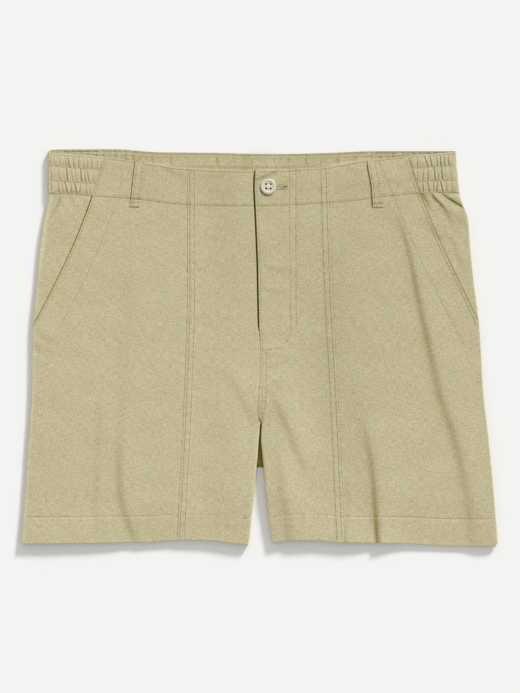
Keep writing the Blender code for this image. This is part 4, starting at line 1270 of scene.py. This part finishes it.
def touch(trees, x, y, fromBelow=False):
    # the nearest cloth above or below that point, and the way it faces
    start = Vector((x * mm, y * mm, -0.05 if fromBelow else 0.05))
    ray = Vector((0, 0, 1 if fromBelow else -1))
    hits = [hit for hit in (tree.ray_cast(start, ray) for tree in trees) if hit[0] is not None]
    if not hits:
        return None
    place, normal, _, _ = min(hits, key=lambda hit: hit[3])
    return place, normal if normal.z * ray.z < 0 else -normal


def evenly(points, pitch):
    # the middle and heading of every stitch along a line
    points = np.array(points, float)
    lengths = np.linalg.norm(np.diff(points, axis=0), axis=1)
    run = np.concatenate([[0], np.cumsum(lengths)])
    count = max(int(run[-1] / pitch), 1)
    at = (np.arange(count) + 0.5) * run[-1] / count
    middle, ahead, behind = (
        np.stack([np.interp(at + step, run, points[:, i]) for i in range(2)], 1) for step in (0, 0.3, -0.3)
    )
    return middle, np.arctan2(ahead[:, 1] - behind[:, 1], ahead[:, 0] - behind[:, 0])


def sew(name, lines, on, seed=7):
    # every line is a list of points, and how it differs from plain topstitching on those pieces
    rng = np.random.RandomState(seed)
    threads, threadFaces = meshArrays(modelStitchPiece)
    pits, pitFaces = meshArrays(modelPitPiece)
    points, faces, kinds = [], [], []
    used = 0
    for line in lines:
        pitch = line.get("pitch", stitchSize["pitch"])
        turned = line.get("turned", 0.0)
        for (x, y), heading in zip(*evenly(line["points"], pitch)):
            shapes = [(threads, threadFaces, 0, 0.0, line.get("long", 1.0), line.get("thick", 1.0))]
            # a dark pit that paints the needle hole's shade
            if not line.get("noPits"):
                pit = rng.uniform(0.75, 1.2) * line.get("pit", 1.0)
                shapes.append((pits, pitFaces, 1, 0.5 * pitch, pit, pit))
            for shape, shapeFaces, kind, forward, long, thick in shapes:
                px = x + math.cos(heading) * forward + rng.uniform(-0.06, 0.06)
                py = y + math.sin(heading) * forward + rng.uniform(-0.06, 0.06)
                hit = touch(on, px, py, line.get("below", False))
                if hit is None:
                    continue
                place, normal = hit
                towards = Vector((math.cos(heading + turned), math.sin(heading + turned), 0))
                across = normal.cross(towards).normalized()
                axes = np.array([across.cross(normal) * long, across * thick, normal * thick])
                points.append(shape @ axes + np.array(place))
                faces += [[i + used for i in face] for face in shapeFaces]
                kinds += [kind] * len(shapeFaces)
                used += len(shape)
    mesh = bpy.data.meshes.new(name)
    mesh.from_pydata(np.concatenate(points).tolist(), [], faces)
    mesh.materials.append(threadFinish)
    mesh.materials.append(pitShadeFinish)
    mesh.polygons.foreach_set("material_index", kinds)
    mesh.shade_smooth()
    piece = linked(name, mesh)
    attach(piece, "root")


def downLine(table, column, top, bottom, offset=0.0, step=2.0):
    ys = np.arange(top, bottom, -step) if top > bottom else np.arange(top, bottom, step)
    return list(zip(follow(table, column, ys) + offset, ys))


def acrossLine(heightAt, left, right, step=2.0):
    xs = np.arange(left, right, step)
    return list(zip(xs, heightAt(xs)))


modelStitchPiece = modelStitch(stitchSize["length"], stitchSize["radius"])
modelPitPiece = modelPit(stitchSize["pit"], stitchSize["pitHeight"])

frontLines = []
for side, inward in inwards.items():
    ends = {"left": (-257.5, -11.5), "right": (13.5, 257.5)}[side]
    frontLines.append({"points": acrossLine(lambda x: frontRow(hem["row"], x), *ends)})
    for offset in frontCentres["rows"]:
        points = downLine(longSeams, side, 196, -212, inward * offset)
        frontLines.append({"points": points, "pit": 1.12, "pitch": 2.35, "long": 0.8})
    frontLines.append({"points": downLine(openings, side, 208, 24, inward * 2.1), "pit": 0.95})
    frontLines.append({"points": downLine(bagLines, side, 206, 2), "pit": 0.6})
for ends in ((-182, -7), (-4, 175)):
    frontLines.append({"points": acrossLine(lambda x: frontRow(1.0, x), *ends)})
for ends in ((-168, -7), (-3, 160)):
    frontLines.append({"points": acrossLine(lambda x: follow(frontTop, "y", x) - topStitched, *ends)})
frontLines.append({"points": downLine(flyEdge, "x", 192, -28, 2.2), "pit": 0.9})
# the fly's two curved rows, the crotch seam's two, and the tack that closes it
inner, outer = frontCentres["flyRows"]
flyCurve = [(inner + 0.2, 196), (inner, 120), (33.8, 60), (34.6, 22), (32.4, 10), (25, 1), (15, -1.6),
            (3, -3)]
for points, size in (
    (flyCurve, 0.95),
    ([(outer, 196), (outer, 110), (outer + 0.2, 20)], 0.95),
    ([(2.8, -6), (2.9, -40), (3.4, -77)], 0.7),
    ([(7.7, -4), (7.7, -40), (6.6, -60), (4.2, -76)], 1.1),
):
    frontLines.append({"points": points, "pit": size})
for points in ([(-0.4, -76), (1.2, -80.6)], [(4.4, -75.5), (2.2, -80.6)]):
    frontLines.append({"points": points, "pitch": 1.3, "long": 0.5})
sew("topstitchFront", frontLines, surfaceOf(fronts))
print("front topstitched")

casingLines = []
for side, inward in inwards.items():
    edge, stops = {"left": (-229, (-180, -176, -172, -168)), "right": (216, (176, 173, 169, 164))}[side]
    for row, stop in zip(casing["stitchRows"], stops):
        points = acrossLine(lambda x: frontRow(row, x), min(edge, stop), max(edge, stop))
        casingLines.append({"points": points, "pit": 0.9})
    casingLines.append({"points": downLine(openings, side, 207, 168, -inward * 1.6), "pit": 0.75})
for row in casing["stitchRows"]:
    casingLines.append({"points": acrossLine(lambda x: backRow(row, x), -226, 211), "below": True})
for start, finish, size in ((-218, -176, 1.5), (-172, 120, 0.8), (126, 152, 1.4), (156, 196, 0.9)):
    points = acrossLine(lambda x: backRow(casing["stitchRows"][-1], x), start, finish)
    casingLines.append({"points": points, "pit": size})
sew("topstitchCasing", casingLines, surfaceOf([casingPiece]), 8)
print("casing topstitched")

backLines = []
for ends in ((-257, -13.5), (15.5, 257)):
    backLines.append({"points": acrossLine(lambda x: backRow(hem["row"], x), *ends), "below": True})
for offset in (2.6, 8.4):
    x = backs["middle"] + offset
    backLines.append({"points": [(x, 168), (x, -126)], "below": True})
sew("topstitchBack", backLines, surfaceOf(backPieces), 9)
print("back topstitched")

satin = {"turned": quarterTurn, "noPits": True}  # close stitches across the line instead of along it
loopLines = []
for side in inwards:
    line = loops[side]
    ys = np.arange(line["y"][0] + 2, line["y"][-1] - 1, 2.0)
    for share in (-0.6, 0.55):
        points = list(zip(follow(line, "x", ys) + share * loops["width"] / 2, ys))
        loopLines.append({"points": points, "pit": 0.9})
    for height in line["bars"]:
        y = line["y"][0] + height
        x = float(follow(line, "x", y))
        points = [(x - 5, y), (x + 5, y)]
        loopLines.append({"points": points, "pitch": 0.6, "long": 0.5, "thick": 0.7, **satin})
for x in (-3.4, 3.4):
    loopLines.append({"points": [(x, 171), (x, 211)], "below": True})
sew("topstitchLoops", loopLines, surfaceOf(loopPieces), 10)

hole = {"from": 8.0, "to": 30.6, "y": 175.9, "half": 1.6, "pitch": 0.62}  # the buttonhole's ends and sides
holeLines = []
for way in (-1, 1):
    y = hole["y"] + way * hole["half"]
    points = [(hole["from"], y), (hole["to"], y)]
    holeLines.append({"points": points, "pitch": hole["pitch"], "long": 0.72, "thick": 1.15, **satin})
points = [(hole["to"] + 0.6, hole["y"] - 1.9), (hole["to"] + 0.6, hole["y"] + 1.9)]
holeLines.append({"points": points, "pitch": 0.6, "long": 0.55, "thick": 1.1, **satin})
# dark pits painting the shade in and beside the hole, then a painted shadow under the button's lower left
paintedShadeMarks = [((8, 0.2), (22, 0.3), 0.75), ((22, -0.6), (27.5, -0.7), 1.1), ((26, 0.7), (29.8, 0.9), 1.5),
         ((18.5, 2.9), (31, 2.5), 0.65), ((18.5, -2.9), (29, -2.6), 0.5),
         ((0.4, 0.6), (1.1, -3.2), 1.1), ((1.1, -3.2), (3.3, -6.5), 1.35), ((3.3, -6.5), (6.6, -8.7), 1.35),
         ((6.6, -8.7), (9.9, -9.4), 1.1), ((9.9, -9.4), (13.2, -8.9), 0.7)]
for start, end, size in paintedShadeMarks:
    points = [(start[0], hole["y"] + start[1]), (end[0], hole["y"] + end[1])]
    holeLines.append({"points": points, "pitch": 0.8, "long": 0.02, "thick": 0.02, "pit": size})
sew("buttonhole", holeLines, surfaceOf([fronts[3]]), 11)
print("belt loops and buttonhole stitched")

# the button: turned, with a raised rim and four holes
low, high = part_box("button")
button = {
    "centre": (low + high) / 2 + Vector((-0.0002, -0.0003, 0)),
    "radius": (high.x - low.x) / 2 * 0.965,
    "base": low.z,
    "under": 0.3 * mm,  # the rim stands this far off, over a narrower foot
    "edge": 0.4 * mm,
    "footInset": 0.16,
    # from the edge to the middle: how far in, as a share of the radius, and how far up in mm
    "steps": ((0.05, 0.28), (0.08, 0.22), (0.07, 0.05), (0.06, -0.07), (0.08, -0.3), (0.1, -0.2),
              (0.12, -0.08)),
    "holeRadius": 1.28 * mm,
    "holeOut": 3.35 * mm,
    "strands": (1.7, 1.15, 0.6),  # how far each thread of a side lies from the middle
    "strandRadius": 0.27 * mm,
}


def selectFlat(piece, pick):
    # leaves only the flat top or bottom face selected, in edit mode
    bpy.ops.object.mode_set(mode="OBJECT")
    faces = list(piece.data.polygons)
    level = pick(face.center.z for face in faces)
    for part in (*piece.data.edges, *piece.data.vertices):
        part.select = False
    for face in faces:
        face.select = abs(face.center.z - level) < 1e-7 and abs(face.normal.z) > 0.99
        if face.select:
            for corner in face.vertices:
                piece.data.vertices[corner].select = True
    bpy.ops.object.mode_set(mode="EDIT")
    bpy.ops.mesh.select_mode(type="FACE")


def uprightRods(vertices, radius, depth, height):
    # one in each of the four holes, middle at that height
    rods = []
    for quarter in range(4):
        angle = (quarter + 0.5) * quarterTurn
        x = button["centre"].x + math.cos(angle) * button["holeOut"]
        y = button["centre"].y + math.sin(angle) * button["holeOut"]
        place = (x, y, height)
        bpy.ops.mesh.primitive_cylinder_add(vertices=vertices, radius=radius, depth=depth, location=place)
        rods.append(bpy.context.object)
    return rods


def turnButton():
    # a disc, drawn up and in step by step on top, on a narrower foot
    radius = button["radius"]
    place = (button["centre"].x, button["centre"].y, button["base"] + button["under"] + button["edge"] / 2)
    bpy.ops.mesh.primitive_cylinder_add(vertices=72, radius=radius, depth=button["edge"], location=place)
    piece = bpy.context.object
    piece.name = "buttonTurned"
    bpy.ops.object.transform_apply(location=True, rotation=True, scale=True)
    bpy.ops.object.mode_set(mode="EDIT")
    bpy.ops.mesh.select_mode(type="FACE")
    selectFlat(piece, max)
    for inset, lift in button["steps"]:
        bpy.ops.mesh.inset(thickness=radius * inset)
        bpy.ops.transform.translate(value=(0, 0, lift * mm))
    bpy.ops.mesh.select_all(action="DESELECT")
    selectFlat(piece, min)
    bpy.ops.mesh.inset(thickness=radius * button["footInset"])
    bpy.ops.mesh.extrude_region_move(TRANSFORM_OT_translate={"value": (0, 0, 0.05 * mm - button["under"])})
    bpy.ops.object.mode_set(mode="OBJECT")
    for cutter in uprightRods(24, button["holeRadius"], 8 * mm, button["base"]):
        cut = piece.modifiers.new("hole", "BOOLEAN")
        cut.operation = "DIFFERENCE"
        cut.solver = "EXACT"
        cut.object = cutter
        applied(piece, "hole")
        bpy.data.objects.remove(cutter)
    edges = piece.modifiers.new("softened", "BEVEL")
    edges.width = 0.12 * mm
    edges.segments = 2
    edges.limit_method = "ANGLE"
    edges.angle_limit = math.radians(38)
    applied(piece, "softened")
    piece.data.shade_smooth()
    finishPiece(piece, buttonFinish, ["button"])


def buttonThread():
    # strands sewn from hole to hole along each side, drawn in towards the middle, over painted shade in the
    # holes
    parts = []
    top = button["base"] + button["under"] + button["edge"] - 0.1 * mm
    side = button["holeOut"] / math.sqrt(2)
    for quarter in range(4):
        for out in button["strands"]:
            piece = lyingRod(8, button["strandRadius"], 2 * side)
            bpy.ops.object.mode_set(mode="EDIT")
            bpy.ops.mesh.select_all(action="SELECT")
            bpy.ops.mesh.subdivide(number_cuts=3)
            bpy.ops.object.mode_set(mode="OBJECT")
            for vert in piece.data.vertices:
                end = min(abs(vert.co.x) / side, 1.0)
                vert.co.x *= 0.66
                vert.co.y += mix(out * mm, side - 0.5 * mm, end**3)
                vert.co.z += (0.35 + 0.12 * (quarter % 2)) * mm - 0.6 * mm * end**4
            turn = Matrix.Rotation(quarter * quarterTurn, 4, "Z")
            piece.data.transform(Matrix.Translation((button["centre"].x, button["centre"].y, top)) @ turn)
            parts.append(piece)
    # dark discs in the holes: painted shade
    holeShadeDiscs = uprightRods(16, button["holeRadius"] * 1.04, 0.2 * mm, button["base"] + 0.3 * mm)
    bpy.ops.object.select_all(action="DESELECT")
    for piece in parts + holeShadeDiscs:
        piece.data.materials.append(paleThreadFinish)
        piece.data.materials.append(pitShadeFinish)
        for face in piece.data.polygons:
            face.material_index = int(piece in holeShadeDiscs)
        piece.select_set(True)
    bpy.context.view_layer.objects.active = parts[0]
    bpy.ops.object.transform_apply(location=True, rotation=True, scale=True)
    bpy.ops.object.join()
    parts[0].name = "buttonThread"
    parts[0].data.shade_smooth()
    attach(parts[0], "root")


turnButton()
buttonThread()
print("button sewn on")

zipParts = {"pitch": 2.6, "toothWidth": 2.4, "toothLength": 1.2, "toothHeight": 0.5}


def zipTeeth():
    # closed teeth along the middle of the tape
    low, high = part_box("zip_tape")
    size = Vector((zipParts["toothWidth"], zipParts["toothLength"], zipParts["toothHeight"])) * mm
    bpy.ops.mesh.primitive_cube_add(size=1)
    tooth = bpy.context.object
    tooth.scale = size
    bpy.ops.object.transform_apply(location=False, rotation=False, scale=True)
    softened = tooth.modifiers.new("softened", "BEVEL")
    softened.width = 0.15 * mm
    softened.segments = 1
    applied(tooth, "softened")
    points, faces = meshArrays(tooth)
    bpy.data.objects.remove(tooth)
    allPoints, allFaces = [], []
    count = int((high.y - low.y) / mm / zipParts["pitch"]) - 2
    for i in range(count):
        y = low.y + (i + 1) * zipParts["pitch"] * mm
        x = float(follow(flyEdge, "x", y / mm) + 5.8 + 12) * mm + (i % 2 - 0.5) * 0.5 * mm
        allPoints.append(points + np.array([x, y, high.z + size.z / 2]))
        allFaces += [[v + i * len(points) for v in face] for face in faces]
    mesh = bpy.data.meshes.new("zipTeeth")
    mesh.from_pydata(np.concatenate(allPoints).tolist(), [], allFaces)
    finishPiece(linked("zipTeeth", mesh), brassFinish)


zipTeeth()
for node, material in (("zip_tape", tapeFinish), ("zip_slider", brassFinish)):
    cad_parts[node].data.materials.clear()
    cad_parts[node].data.materials.append(material)
for piece in (modelStitchPiece, modelPitPiece):
    bpy.data.objects.remove(piece)
print("zip finished")

studio = {
    "floor": (0.86, 0.86, 0.85),
    "fill": 0.64,
    "sunStrength": 3.6,
    "sunHeight": 21.0,  # degrees above the table
    "sunTurn": 30.0,  # degrees from straight up the picture towards the right
    "sunSize": 10.0,
    "cameraHeight": 2.1173,
    "lens": 100.0,
}


def layStudio():
    # a pale floor, soft light all round, one low sun and a camera straight above
    bpy.ops.mesh.primitive_plane_add(size=12, location=(0, 0, -0.00005))
    floor = bpy.context.object
    floor.name = "floor"
    material, tree = newMaterial("paleFloor")
    matt = {"Base Color": (*studio["floor"], 1), "Roughness": 1.0, "Specular IOR Level": 0.0}
    fill(tree, tree.nodes["Principled BSDF"], matt)
    floor.data.materials.append(material)
    world = bpy.data.worlds.new("softFill")
    world.use_nodes = True
    glow = {"Color": (1, 1, 1, 1), "Strength": studio["fill"]}
    fill(world.node_tree, world.node_tree.nodes["Background"], glow)
    bpy.context.scene.world = world
    lamp = linked("keyLight", bpy.data.lights.new("keyLight", "SUN"))
    lamp.data.energy = studio["sunStrength"]
    lamp.data.angle = math.radians(studio["sunSize"])
    height, turn = math.radians(studio["sunHeight"]), math.radians(studio["sunTurn"])
    level = math.cos(height)
    towards = Vector((math.sin(turn) * level, math.cos(turn) * level, math.sin(height)))
    lamp.rotation_euler = towards.to_track_quat("Z", "Y").to_euler()
    camera = linked("camera", bpy.data.cameras.new("camera"))
    camera.data.lens = studio["lens"]
    camera.location = (0.00055, 0.0011, 0.005 + studio["cameraHeight"])
    bpy.context.scene.camera = camera
    bpy.context.scene.view_settings.view_transform = "Standard"


layStudio()
print("studio laid out")
